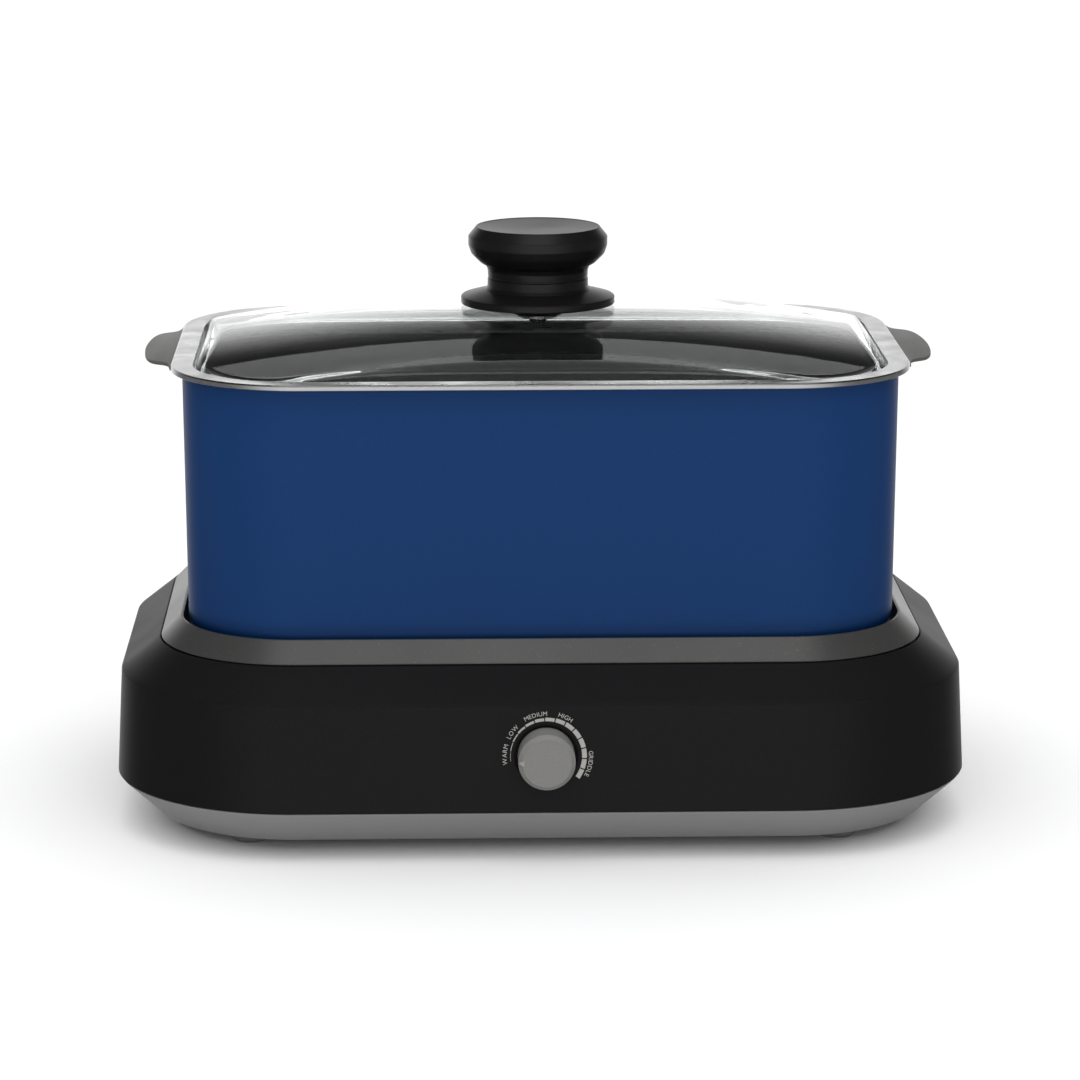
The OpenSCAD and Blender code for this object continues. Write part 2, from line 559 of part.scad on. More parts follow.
// one handle, at the +X end: a flat plate pinned under the rim
module handle_plate() difference() {
  translate([0, 0, handle_z]) linear_extrude(handle_t) polygon([
    [end_x + 0.4, -handle_w / 2], [end_x + 5.3, -handle_w / 2], [end_x + 6, -handle_w * 0.44],
    [end_x + 7, -handle_w * 0.405], [end_x + 8.7, -handle_w * 0.38],
    [end_x + 11.5, -handle_w * 0.36], [handle_tip_x - 4.8, -handle_w * 0.335],
    [handle_tip_x - 2.9, -handle_w * 0.29], [handle_tip_x - 1.6, -handle_w * 0.23],
    [handle_tip_x - 0.5, -handle_w * 0.13], [handle_tip_x, 0],
    [handle_tip_x - 0.5, handle_w * 0.13], [handle_tip_x - 1.6, handle_w * 0.23],
    [handle_tip_x - 2.9, handle_w * 0.29], [handle_tip_x - 4.8, handle_w * 0.335],
    [end_x + 11.5, handle_w * 0.36], [end_x + 8.7, handle_w * 0.38],
    [end_x + 7, handle_w * 0.405], [end_x + 6, handle_w * 0.44],
    [end_x + 5.3, handle_w / 2], [end_x + 0.4, handle_w / 2]]);
  for (t = [-1:1]) translate([pin_x, t * 0.38 * handle_w, handle_z - 1])
    cylinder(h = handle_t + 2, r = pin_r);
}

module handle_right() color([0.24, 0.24, 0.23]) translate([0, y_mid, 0]) handle_plate();

module handle_left() color([0.24, 0.24, 0.23]) translate([0, y_mid, 0])
  mirror([1, 0, 0]) handle_plate();

module handle_pins() color([0.70, 0.70, 0.70]) translate([0, y_mid, 0])
  for (s = [-1, 1]) for (t = [-1:1]) translate([s * pin_x, t * 0.38 * handle_w, handle_z]) {
    cylinder(h = handle_t + 0.7, r = pin_r);
    translate([0, 0, -0.8]) cylinder(h = 0.8, r1 = pin_r + 0.2, r2 = pin_r + 0.6);
  }

// the solid under a double-curved crown whose top sits at height top
module crown_solid(top, cut) {
  translate([0, 0, top - arc_y]) rotate([0, 90, 0]) rotate_extrude() intersection() {
    translate([arc_y - arc_x, 0]) circle(arc_x - cut, $fn = 180);
    translate([0, -end_span - 30]) square([arc_y + 10, 2 * end_span + 60]);
  }
}

// the solid inside the edge of the lid, drawn in by the distance cut
module lid_edge_solid(cut) {
  sweep_ring(pcx, pcy) polygon([
    [0, seat_z - (cut > 0 ? 1 : 0)], [glass_r - cut, seat_z - (cut > 0 ? 1 : 0)],
    [glass_r - cut, seat_z + 4 - cut * 0.4], [glass_r - 0.6 - cut, seat_z + 5 - cut * 0.4],
    [glass_r - 2.6 - cut, seat_z + 10 - cut * 0.5], [glass_r - 8 - cut, seat_z + 14.2 - cut * 0.8],
    [glass_r - 24, seat_z + 21 - cut * 0.9], [0, seat_z + 34]]);
  middle_block(pcx, pcy, seat_z - (cut > 0 ? 1 : 0), seat_z + 34);
}

module lid_glass() color([0.85, 0.90, 0.90, 0.35]) translate([0, y_mid, 0]) difference() {
  intersection() {
    lid_edge_solid(0);
    crown_solid(crown_z, 0);
  }
  intersection() {
    lid_edge_solid(glass_t);
    crown_solid(crown_z, glass_t);
  }
  translate([0, 0, crown_z - 10]) cylinder(h = 20, r = lid_screw_r + 0.8);
}

module lid_knob() color([0.035, 0.035, 0.035]) translate([0, y_mid, knob_base_z]) difference() {
  rotate_extrude() polygon([
    [0, 12.1], [lid_neck_r, 12.1], [lid_neck_r, 14.9], [lid_neck_r + 0.6, 16.8],
    [lid_neck_r + 3.3, 18.4], [lid_knob_r - 1.2, 22.3], [lid_knob_r, 25.9],
    [lid_knob_r, lid_knob_h - 4.3], [lid_knob_r - 3.4, lid_knob_h - 0.1],
    [lid_knob_r - 3.9, lid_knob_h], [lid_knob_r - 5, lid_knob_h - 0.3], [0, lid_knob_h - 1]]);
  translate([0, 0, 12]) cylinder(h = 13, r = 5.05);
}

module lid_knob_base() color([0.03, 0.03, 0.03]) translate([0, y_mid, knob_base_z]) difference() {
  rotate_extrude() polygon([
    [0, 0], [lid_flange_r - 0.7, 0], [lid_flange_r, 0.8], [lid_flange_r, 3.4],
    [lid_flange_r - 0.9, 4.3], [lid_neck_r + 0.2, 6.3], [lid_neck_r, 6.6],
    [lid_neck_r, 11.2], [lid_neck_r - 0.6, 11.4], [lid_neck_r - 0.6, 12.1], [0, 12.1]]);
  translate([0, 0, -1]) cylinder(h = 20, r = 5.05);
}

module lid_insert() color([0.78, 0.62, 0.30]) translate([0, y_mid, knob_base_z]) difference() {
  translate([0, 0, 0.2]) cylinder(h = 24.4, r = 5);
  translate([0, 0, -1]) cylinder(h = 22, r = lid_screw_r);
}

module lid_gasket() color([0.10, 0.10, 0.10]) translate([0, y_mid, 0]) difference() {
  translate([0, 0, crown_z - glass_t - 2]) cylinder(h = glass_t + 2 + 0.35, r = 11);
  intersection() {
    crown_solid(crown_z, 0);
    difference() {
      translate([0, 0, crown_z - 20]) cylinder(h = 40, r = 14);
      translate([0, 0, crown_z - 20]) cylinder(h = 40, r = lid_screw_r + 0.75);
    }
    difference() {
      translate([-50, -50, crown_z - 20]) cube([100, 100, 40]);
      crown_solid(crown_z, glass_t);
    }
  }
  translate([0, 0, crown_z - 20]) cylinder(h = 40, r = lid_screw_r + 0.15);
}

module lid_washer() color([0.72, 0.72, 0.72]) translate([0, y_mid, crown_z - glass_t - 3.2])
  difference() {
    cylinder(h = 1.2, r = 9);
    translate([0, 0, -1]) cylinder(h = 4, r = lid_screw_r + 0.2);
  }

module lid_screw() color([0.72, 0.72, 0.72]) translate([0, y_mid, crown_z - glass_t - 3.2])
  difference() {
    union() {
      translate([0, 0, -2.4]) cylinder(h = 2.4, r1 = 3.4, r2 = 4.6);
      translate([0, 0, -0.1]) cylinder(h = glass_t + 3.9 + 18, r = lid_screw_r - 0.05);
    }
    translate([-3, -0.5, -3]) cube([6, 1, 2]);
    translate([-0.5, -3, -3]) cube([1, 6, 2]);
  }

base_housing();
bottom_cover();
griddle_plate();
plate_gasket();
plate_nuts();
heating_element();
element_clamps();
element_insulators();
heat_shield();
thermostat_body();
thermostat_bracket();
thermostat_screws();
sensor_bulb();
thermal_fuse();
fuse_clip();
terminal_block();
lead_wires();
cord_grommet();
housing_screws();
rubber_feet();
thermostat_shaft();
control_knob();
knob_spring_clip();
pot_shell();
handle_left();
handle_right();
handle_pins();
lid_glass();
lid_knob();
lid_knob_base();
lid_insert();
lid_gasket();
lid_washer();
lid_screw();
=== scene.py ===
"""Oblong slow cooker: visible pieces, finishes and studio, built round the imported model."""
import math

import bmesh
import bpy
from mathutils import Matrix, Vector


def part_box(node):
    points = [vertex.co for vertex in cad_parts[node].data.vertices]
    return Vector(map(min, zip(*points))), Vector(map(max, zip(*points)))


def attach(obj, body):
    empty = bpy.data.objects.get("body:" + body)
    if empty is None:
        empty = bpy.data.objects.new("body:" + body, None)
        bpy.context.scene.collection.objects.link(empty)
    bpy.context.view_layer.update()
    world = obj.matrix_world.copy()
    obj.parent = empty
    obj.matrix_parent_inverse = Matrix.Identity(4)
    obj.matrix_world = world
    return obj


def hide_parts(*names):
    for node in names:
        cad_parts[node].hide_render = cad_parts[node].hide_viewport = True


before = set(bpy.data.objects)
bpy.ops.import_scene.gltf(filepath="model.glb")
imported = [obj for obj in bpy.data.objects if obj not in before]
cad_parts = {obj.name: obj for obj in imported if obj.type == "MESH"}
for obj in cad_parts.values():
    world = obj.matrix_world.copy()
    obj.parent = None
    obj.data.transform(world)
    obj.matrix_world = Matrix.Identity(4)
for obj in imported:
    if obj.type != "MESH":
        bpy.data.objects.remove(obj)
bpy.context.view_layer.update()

bl_info = {
    "name": "Oblong Slow Cooker",
    "version": (1, 0, 0),
    "blender": (4, 5, 0),
    "location": "View3D > Sidebar > Cooker",
    "description": "Builds the visible pieces, finishes and studio of an oblong slow cooker",
    "category": "Add Mesh",
}

MM = 0.001
BASE_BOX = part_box("base_housing")
COVER_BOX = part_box("bottom_cover")
POT_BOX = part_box("pot_shell")
GLASS_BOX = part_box("lid_glass")
GRIP_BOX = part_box("lid_knob")
GRIP_BASE_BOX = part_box("lid_knob_base")
DIAL_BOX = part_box("control_knob")
HANDLE_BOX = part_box("handle_right")
FOOT_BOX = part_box("rubber_feet")
SCREW_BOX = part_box("housing_screws")
GROMMET_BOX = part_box("cord_grommet")
MID_Y = (POT_BOX[0].y + POT_BOX[1].y) / 2


# ---------------------------------------------------------------- sizes and colours

def length(name, description, default):
    """A size shown in the sidebar, in metres."""
    return bpy.props.FloatProperty(name=name, description=description, default=default,
                                   min=0.0, unit="LENGTH", subtype="DISTANCE", precision=5)


def colour(name, description, default):
    """A linear colour shown in the sidebar."""
    return bpy.props.FloatVectorProperty(name=name, description=description, default=default,
                                         min=0.0, max=1.0, size=3, subtype="COLOR")


class CookerBaseSizes(bpy.types.PropertyGroup):
    corner: length("Corner radius", "Plan corner radius at the widest line", 79.8 * MM)
    border_height: length("Border height", "Height of the line between cover and wall", 21.8 * MM)
    wall_top: length("Wall top", "Height where the wall meets the sloping shoulder", 67.8 * MM)
    wall_draft: length("Wall draft", "How far the wall leans in", 2.4 * MM)
    shoulder_top: length("Shoulder top", "Height of the seam round the griddle", 81.4 * MM)
    shoulder_in: length("Shoulder lean", "How far the shoulder leans in", 16.9 * MM)
    rim_in: length("Rim lean", "How far the griddle rim leans in", 9.1 * MM)
    cover_in: length("Cover lean", "How far the cover leans in to its floor", 17 * MM)


class CookerPotSizes(bpy.types.PropertyGroup):
    corner: length("Corner radius", "Plan corner radius of the wall at the bottom", 50.6 * MM)
    wall_width: length("Wall width", "Outside length of the wall at the bottom", 306.3 * MM)
    wall_depth: length("Wall depth", "Outside depth of the wall at the bottom", 199.4 * MM)
    flare: length("Flare", "How far the wall leans out", 1.1 * MM)
    wall: length("Wall thickness", "Thickness of wall and floor", 3 * MM)
    edge: length("Floor edge", "Radius between floor and wall", 8 * MM)
    seat_depth: length("Seat depth", "Depth of the lid seat below the rim", 4.6 * MM)


class CookerLidSizes(bpy.types.PropertyGroup):
    glass: length("Glass", "Thickness of the glass", 4 * MM)
    fall_x: length("Fall to the ends", "Fall of the crown to the short ends", 10.5 * MM)
    fall_y: length("Fall to the sides", "Fall of the crown to the long sides", 8.1 * MM)
    neck: length("Neck radius", "Radius of the lid knob neck", 22.2 * MM)
    head: length("Head radius", "Largest radius of the lid knob", 30.6 * MM)
    flange: length("Flange radius", "Radius of the flange on the glass", 33.9 * MM)


class CookerDialSizes(bpy.types.PropertyGroup):
    well: length("Well radius", "Radius of the round well round the knob", 13.4 * MM)
    well_depth: length("Well depth", "Depth of the well in the wall", 3 * MM)
    scale_radius: length("Scale radius", "Inner radius of the printed scale", 15.0 * MM)
    letter: length("Letter height", "Height of the printed words", 1.85 * MM)
    marks: bpy.props.IntProperty(name="Marks", description="Marks in the printed scale",
                                 default=14, min=2, max=40)
    start: bpy.props.FloatProperty(name="First mark", description="Angle of the first mark's start",
                                   default=math.radians(188.7), subtype="ANGLE")
    sweep: bpy.props.FloatProperty(name="Sweep", description="Angle covered by the scale",
                                   default=math.radians(224.7), subtype="ANGLE")


class CookerColours(bpy.types.PropertyGroup):
    pot: colour("Pot", "Satin blue of the pot wall", (0.0038, 0.0325, 0.1240))
    housing: colour("Housing", "Black moulded housing", (0.0064, 0.0064, 0.0066))
    cover: colour("Cover", "Grey bottom cover", (0.240, 0.240, 0.240))
    griddle: colour("Griddle", "Dark grey griddle coating", (0.135, 0.135, 0.132))
    handles: colour("Handles", "Dark grey side handles", (0.085, 0.084, 0.082))
    dial: colour("Dial", "Grey control knob", (0.185, 0.183, 0.176))
    print_ink: colour("Print", "Light grey printed marks", (0.40, 0.39, 0.37))
    grip: colour("Lid knob", "Black lid knob", (0.0060, 0.0060, 0.0060))


# ---------------------------------------------------------------- shader groups and finishes

def new_group(name, inputs, outputs):
    """An empty shader group with its sockets, and its two end nodes."""
    tree = bpy.data.node_groups.new(name, "ShaderNodeTree")
    for label, kind, default in inputs:
        socket = tree.interface.new_socket(label, in_out="INPUT", socket_type=kind)
        if default is not None:
            socket.default_value = default
    for label, kind in outputs:
        tree.interface.new_socket(label, in_out="OUTPUT", socket_type=kind)
    return tree, tree.nodes.new("NodeGroupInput"), tree.nodes.new("NodeGroupOutput")


def noise(tree, source, scale, detail=2.0, rough=0.5):
    made = tree.nodes.new("ShaderNodeTexNoise")
    made.inputs["Detail"].default_value = detail
    made.inputs["Roughness"].default_value = rough
    tree.links.new(source, made.inputs["Vector"])
    if isinstance(scale, (int, float)):
        made.inputs["Scale"].default_value = scale
    else:
        tree.links.new(scale, made.inputs["Scale"])
    return made.outputs["Fac"]


def ranged(tree, value, low, high, to_low, to_high):
    made = tree.nodes.new("ShaderNodeMapRange")
    for socket, given in zip(made.inputs, (value, low, high, to_low, to_high)):
        if isinstance(given, (int, float)):
            socket.default_value = given
        else:
            tree.links.new(given, socket)
    return made.outputs["Result"]


def mixed(tree, factor, first, second):
    made = tree.nodes.new("ShaderNodeMix")
    made.data_type = "RGBA"
    for socket, given in ((made.inputs["Factor"], factor), (made.inputs[6], first),
                          (made.inputs[7], second)):
        if isinstance(given, (int, float)):
            socket.default_value = given
        elif isinstance(given, tuple):
            socket.default_value = (*given, 1.0) if len(given) == 3 else given
        else:
            tree.links.new(given, socket)
    return made.outputs[2]


def math_node(tree, operation, first, second):
    made = tree.nodes.new("ShaderNodeMath")
    made.operation = operation
    for socket, given in zip(made.inputs, (first, second)):
        if isinstance(given, (int, float)):
            socket.default_value = given
        else:
            tree.links.new(given, socket)
    return made.outputs[0]


def moulded_grain_group():
    """Fine spark-eroded grain with slow patches of handling, for moulded plastic and rubber."""
    tree, taken, given = new_group("Moulded grain", [
        ("Vector", "NodeSocketVector", None), ("Color", "NodeSocketColor", (0.1, 0.1, 0.1, 1)),
        ("Grain Scale", "NodeSocketFloat", 1600.0), ("Patch Scale", "NodeSocketFloat", 14.0),
        ("Lift", "NodeSocketFloat", 1.2), ("Rough Low", "NodeSocketFloat", 0.4),
        ("Rough High", "NodeSocketFloat", 0.5)],
        [("Color", "NodeSocketColor"), ("Roughness", "NodeSocketFloat"),
         ("Height", "NodeSocketFloat")])
    grain = noise(tree, taken.outputs["Vector"], taken.outputs["Grain Scale"], 3.0, 0.6)
    patch = noise(tree, taken.outputs["Vector"], taken.outputs["Patch Scale"], 4.0, 0.55)
    lifted = tree.nodes.new("ShaderNodeVectorMath")
    lifted.operation = "SCALE"
    tree.links.new(taken.outputs["Color"], lifted.inputs[0])
    tree.links.new(taken.outputs["Lift"], lifted.inputs["Scale"])
    speck = ranged(tree, grain, 0.42, 0.68, 0.0, 1.0)
    shade = math_node(tree, "MULTIPLY", speck, ranged(tree, patch, 0.3, 0.7, 0.45, 1.0))
    tree.links.new(mixed(tree, shade, taken.outputs["Color"], lifted.outputs[0]),
                   given.inputs["Color"])
    rough = ranged(tree, patch, 0.3, 0.7, taken.outputs["Rough Low"], taken.outputs["Rough High"])
    tree.links.new(rough, given.inputs["Roughness"])
    tree.links.new(grain, given.inputs["Height"])
    return tree


def brushed_group():
    """Long fine lines and slow stains, for brushed, turned and drawn metal."""
    tree, taken, given = new_group("Brushed lines", [
        ("Vector", "NodeSocketVector", None), ("Color", "NodeSocketColor", (0.7, 0.7, 0.7, 1)),
        ("Stretch", "NodeSocketVector", (20.0, 900.0, 900.0)),
        ("Stain", "NodeSocketColor", (0.5, 0.5, 0.5, 1)),
        ("Rough Low", "NodeSocketFloat", 0.2), ("Rough High", "NodeSocketFloat", 0.35)],
        [("Color", "NodeSocketColor"), ("Roughness", "NodeSocketFloat"),
         ("Height", "NodeSocketFloat")])
    stretched = tree.nodes.new("ShaderNodeVectorMath")
    stretched.operation = "MULTIPLY"
    tree.links.new(taken.outputs["Vector"], stretched.inputs[0])
    tree.links.new(taken.outputs["Stretch"], stretched.inputs[1])
    lines = noise(tree, stretched.outputs[0], 1.0, 3.0, 0.65)
    stain = noise(tree, taken.outputs["Vector"], 22.0, 3.0, 0.6)
    tree.links.new(mixed(tree, ranged(tree, stain, 0.45, 0.75, 0.0, 0.5),
                         taken.outputs["Color"], taken.outputs["Stain"]), given.inputs["Color"])
    tree.links.new(ranged(tree, lines, 0.3, 0.7, taken.outputs["Rough Low"],
                          taken.outputs["Rough High"]), given.inputs["Roughness"])
    tree.links.new(lines, given.inputs["Height"])
    return tree


def coating_speck_group():
    """Sprayed non-stick coating: small pale flecks in a dark film over an orange-peel surface."""
    tree, taken, given = new_group("Coating flecks", [
        ("Vector", "NodeSocketVector", None), ("Color", "NodeSocketColor", (0.02, 0.02, 0.02, 1)),
        ("Fleck", "NodeSocketColor", (0.16, 0.16, 0.16, 1)),
        ("Fleck Scale", "NodeSocketFloat", 520.0), ("Amount", "NodeSocketFloat", 0.5),
        ("Rough Low", "NodeSocketFloat", 0.35), ("Rough High", "NodeSocketFloat", 0.5)],
        [("Color", "NodeSocketColor"), ("Roughness", "NodeSocketFloat"),
         ("Height", "NodeSocketFloat")])
    cells = tree.nodes.new("ShaderNodeTexVoronoi")
    tree.links.new(taken.outputs["Vector"], cells.inputs["Vector"])
    tree.links.new(taken.outputs["Fleck Scale"], cells.inputs["Scale"])
    near = ranged(tree, cells.outputs["Distance"], 0.10, 0.26, 1.0, 0.0)
    picked = noise(tree, taken.outputs["Vector"], 260.0, 2.0, 0.6)
    chosen = ranged(tree, picked, 0.5, 0.62, 0.0, 1.0)
    fleck = math_node(tree, "MULTIPLY", math_node(tree, "MULTIPLY", near, chosen),
                      taken.outputs["Amount"])
    tree.links.new(mixed(tree, fleck, taken.outputs["Color"], taken.outputs["Fleck"]),
                   given.inputs["Color"])
    peel = noise(tree, taken.outputs["Vector"], 420.0, 3.0, 0.5)
    wear = noise(tree, taken.outputs["Vector"], 12.0, 4.0, 0.6)
    tree.links.new(ranged(tree, wear, 0.3, 0.7, taken.outputs["Rough Low"],
                          taken.outputs["Rough High"]), given.inputs["Roughness"])
    tree.links.new(math_node(tree, "ADD", peel, math_node(tree, "MULTIPLY", fleck, 0.4)),
                   given.inputs["Height"])
    return tree


GROUPS = {}


def shader_group(maker):
    if maker.__name__ not in GROUPS:
        GROUPS[maker.__name__] = maker()
    return GROUPS[maker.__name__]


def finish_material(name, maker, inputs, principled, bump=0.0, bump_distance=0.00005):
    """One finish: object coordinates through a shared group into a Principled shader."""
    made = bpy.data.materials.new(name)
    made.use_nodes = True
    tree = made.node_tree
    tree.nodes.clear()
    place = tree.nodes.new("ShaderNodeTexCoord")
    effect = tree.nodes.new("ShaderNodeGroup")
    effect.node_tree = shader_group(maker)
    tree.links.new(place.outputs["Object"], effect.inputs["Vector"])
    for label, value in inputs.items():
        effect.inputs[label].default_value = (*value, 1.0) if (
            effect.inputs[label].type == "RGBA" and len(value) == 3) else value
    shader = tree.nodes.new("ShaderNodeBsdfPrincipled")
    for label, value in principled.items():
        shader.inputs[label].default_value = value
    tree.links.new(effect.outputs["Color"], shader.inputs["Base Color"])
    tree.links.new(effect.outputs["Roughness"], shader.inputs["Roughness"])
    if bump:
        relief = tree.nodes.new("ShaderNodeBump")
        relief.inputs["Strength"].default_value = bump
        relief.inputs["Distance"].default_value = bump_distance
        tree.links.new(effect.outputs["Height"], relief.inputs["Height"])
        tree.links.new(relief.outputs["Normal"], shader.inputs["Normal"])
    output = tree.nodes.new("ShaderNodeOutputMaterial")
    tree.links.new(shader.outputs["BSDF"], output.inputs["Surface"])
    return made


def plastic(name, tint, low, high, lift=1.25, specular=0.4, grain=1500.0, bump=0.25):
    return finish_material(name, moulded_grain_group, {
        "Color": tuple(tint), "Grain Scale": grain, "Lift": lift, "Rough Low": low,
        "Rough High": high}, {"Specular IOR Level": specular}, bump, 0.00004)


def metal(name, tint, low, high, stretch=(20.0, 900.0, 900.0), stain=None, bump=0.12):
    stain = stain or tuple(0.8 * c for c in tint)
    return finish_material(name, brushed_group, {
        "Color": tuple(tint), "Stain": stain, "Stretch": stretch, "Rough Low": low,
        "Rough High": high}, {"Metallic": 1.0}, bump, 0.00003)


def coating(name, tint, fleck, low, high, amount=0.5, specular=0.4, bump=0.2, scale=520.0,
            metallic=0.0):
    return finish_material(name, coating_speck_group, {
        "Color": tuple(tint), "Fleck": tuple(fleck), "Amount": amount, "Fleck Scale": scale,
        "Rough Low": low, "Rough High": high}, {"Specular IOR Level": specular,
                                                "Metallic": metallic}, bump, 0.00005)


def pot_enamel(tints):
    """Satin blue coating: soft sheen over a very fine orange peel, with painted shade darkening it
    towards the foot.
    """
    made = finish_material("Pot satin blue", moulded_grain_group, {
        "Color": tuple(tints.pot), "Grain Scale": 900.0, "Patch Scale": 9.0, "Lift": 1.10,
        "Rough Low": 0.40, "Rough High": 0.46},
        {"Specular IOR Level": 0.14}, 0.10, 0.00004)
    tree = made.node_tree
    place = next(n for n in tree.nodes if n.type == "TEX_COORD")
    effect = next(n for n in tree.nodes if n.type == "GROUP")
    shader = next(n for n in tree.nodes if n.type == "BSDF_PRINCIPLED")
    split = tree.nodes.new("ShaderNodeSeparateXYZ")
    tree.links.new(place.outputs["Object"], split.inputs[0])
    # painted shade: the blue is mixed down to 45 % near the foot, where the floor edge and the gap to the
    # base fall into shade
    foot = ranged(tree, split.outputs["Z"], POT_BOX[0].z + 0.0085, POT_BOX[0].z + 0.0135, 0.55, 0.0)
    dark = tuple(0.45 * c for c in tints.pot)
    tree.links.new(mixed(tree, foot, effect.outputs["Color"], dark), shader.inputs["Base Color"])
    return made


def clear_glass():
    """Clear tempered glass, with the faintest grey tint and smears in its roughness."""
    made = bpy.data.materials.new("Clear tempered glass")
    made.use_nodes = True
    tree = made.node_tree
    shader = tree.nodes["Principled BSDF"]
    shader.inputs["Base Color"].default_value = (0.965, 0.98, 0.975, 1)
    shader.inputs["Transmission Weight"].default_value = 1.0
    shader.inputs["IOR"].default_value = 1.06
    shader.inputs["Coat Weight"].default_value = 0.45
    shader.inputs["Coat IOR"].default_value = 1.46
    shader.inputs["Coat Roughness"].default_value = 0.02
    place = tree.nodes.new("ShaderNodeTexCoord")
    smear = noise(tree, place.outputs["Object"], 16.0, 4.0, 0.6)
    tree.links.new(ranged(tree, smear, 0.35, 0.75, 0.0, 0.03), shader.inputs["Roughness"])
    return made


FINISH = {}


def make_finishes(tints):
    FINISH.update({
        "housing": plastic("Housing satin black", tints.housing, 0.40, 0.48, 1.45, 0.18),
        "cover": plastic("Cover satin grey", tints.cover, 0.46, 0.55, 1.06, 0.3, 1700.0, 0.2),
        "griddle": coating("Griddle coating", tints.griddle, (0.30, 0.30, 0.295), 0.30, 0.38,
                           0.5, 0.35, 0.35, 700.0, 0.75),
        "pot": pot_enamel(tints),
        "inside": coating("Pot non-stick", (0.010, 0.010, 0.0105), (0.07, 0.07, 0.07), 0.34, 0.46,
                          0.45, 0.35, 0.2),
        "rim": metal("Bare aluminium rim", (0.86, 0.86, 0.865), 0.24, 0.36,
                     (60.0, 60.0, 1400.0), (0.80, 0.80, 0.81), 0.06),
        "handle": plastic("Handle coating", tints.handles, 0.42, 0.52, 1.15, 0.4, 1300.0, 0.3),
        "dial": plastic("Dial satin grey", tints.dial, 0.42, 0.5, 1.12, 0.35, 1900.0, 0.2),
        "ink": plastic("Printed ink", tints.print_ink, 0.5, 0.6, 1.05, 0.2, 2400.0, 0.1),
        "pointer": plastic("Pointer", tuple(1.45 * c for c in tints.dial), 0.42, 0.5, 1.1, 0.35),
        "grip": plastic("Lid knob satin black", tints.grip, 0.30, 0.38, 1.5, 0.5, 1800.0, 0.16),
        "rubber": plastic("Grey rubber", (0.16, 0.16, 0.155), 0.6, 0.75, 1.2, 0.25, 1100.0, 0.4),
        "black_rubber": plastic("Black rubber", (0.016, 0.016, 0.016), 0.55, 0.7, 1.5, 0.3,
                                1100.0, 0.4),
        "silicone": plastic("Red silicone", (0.30, 0.045, 0.03), 0.45, 0.55, 1.1, 0.35),
        "ceramic": plastic("Glazed ceramic", (0.76, 0.73, 0.66), 0.16, 0.28, 1.04, 0.5, 700.0, 0.1),
        "pale": plastic("Pale terminal plastic", (0.70, 0.68, 0.62), 0.4, 0.5, 1.04, 0.4),
        "sleeve": plastic("Woven glass sleeve", (0.55, 0.51, 0.43), 0.7, 0.85, 1.2, 0.2, 2600.0,
                          0.6),
        "glass": clear_glass(),
        "zinc": metal("Zinc-plated steel", (0.63, 0.63, 0.61), 0.28, 0.45,
                      (700.0, 700.0, 700.0)),
        "sheet": metal("Aluminised sheet", (0.66, 0.67, 0.68), 0.32, 0.5, (25.0, 900.0, 900.0)),
        "tube": metal("Heat-tinted tube", (0.30, 0.29, 0.28), 0.35, 0.55, (300.0, 300.0, 300.0),
                      (0.20, 0.15, 0.11)),
        "copper": metal("Drawn copper", (0.72, 0.40, 0.25), 0.25, 0.4, (40.0, 900.0, 900.0),
                        (0.45, 0.24, 0.15)),
        "steel": metal("Turned steel", (0.62, 0.62, 0.61), 0.2, 0.34, (900.0, 60.0, 900.0)),
        "brass": metal("Turned brass", (0.74, 0.55, 0.24), 0.22, 0.36, (900.0, 900.0, 60.0)),
    })


# ---------------------------------------------------------------- mesh helpers (millimetres in)

def rounded(points, closed=True, steps=5, guard=0.5):
    """Points (x, y, fillet) to a smooth outline, with guard points that keep the flats flat."""
    out = []
    count = len(points)
    for i, (x, y, radius) in enumerate(points):
        here = Vector((x, y))
        if radius <= 0 or (not closed and i in (0, count - 1)):
            out.append(here)
            continue
        before = Vector(points[i - 1][:2]) - here
        after = Vector(points[(i + 1) % count][:2]) - here
        a, b = before.normalized(), after.normalized()
        half = a.angle(b) / 2
        reach = min(radius / math.tan(half), 0.45 * before.length, 0.45 * after.length)
        radius = reach * math.tan(half)
        centre = here + (a + b).normalized() * (radius / math.sin(half))
        start, end = here + a * reach, here + b * reach
        keep = min(guard, 0.3 * reach + 0.05)
        if before.length - reach > 3 * keep:
            out.append(start + a * keep)
        v0, v1 = start - centre, end - centre
        turn = v0.angle_signed(v1)
        for k in range(steps + 1):
            spun = Matrix.Rotation(-turn * k / steps, 2) @ v0
            out.append(centre + spun)
        if after.length - reach > 3 * keep:
            out.append(end + b * keep)
    return out


def ring_points(hx, hy, radius, steps, between=0):
    """Corner-centre outline of a rounded rectangle, counter-clockwise seen from above,
    with the given number of points between the corners on the straight sides."""
    out = []
    for k, (sx, sy) in enumerate(((1, 1), (-1, 1), (-1, -1), (1, -1))):
        for j in range(steps + 1):
            angle = math.pi / 2 * (k + j / steps)
            out.append((sx * hx + radius * math.cos(angle), sy * hy + radius * math.sin(angle)))
        tx, ty = ((-1, 1), (-1, -1), (1, -1), (1, 1))[k]
        angle = math.pi / 2 * (k + 1)
        for j in range(1, between + 1):
            t = j / (between + 1)
            out.append((hx * (sx + (tx - sx) * t) + radius * math.cos(angle),
                        hy * (sy + (ty - sy) * t) + radius * math.sin(angle)))
    return out


def mesh_object(name, vertices, faces, parts=None, materials=(), smooth=35.0):
    """A finished mesh piece: vertices in millimetres in the cooker's own frame, shading by angle."""
    mesh = bpy.data.meshes.new(name)
    mesh.from_pydata([Vector(v) * MM for v in vertices], [], faces)
    for made in materials:
        mesh.materials.append(made)
    if parts:
        mesh.polygons.foreach_set("material_index", parts)
    mesh.update()
    return shaded(name, mesh, smooth)


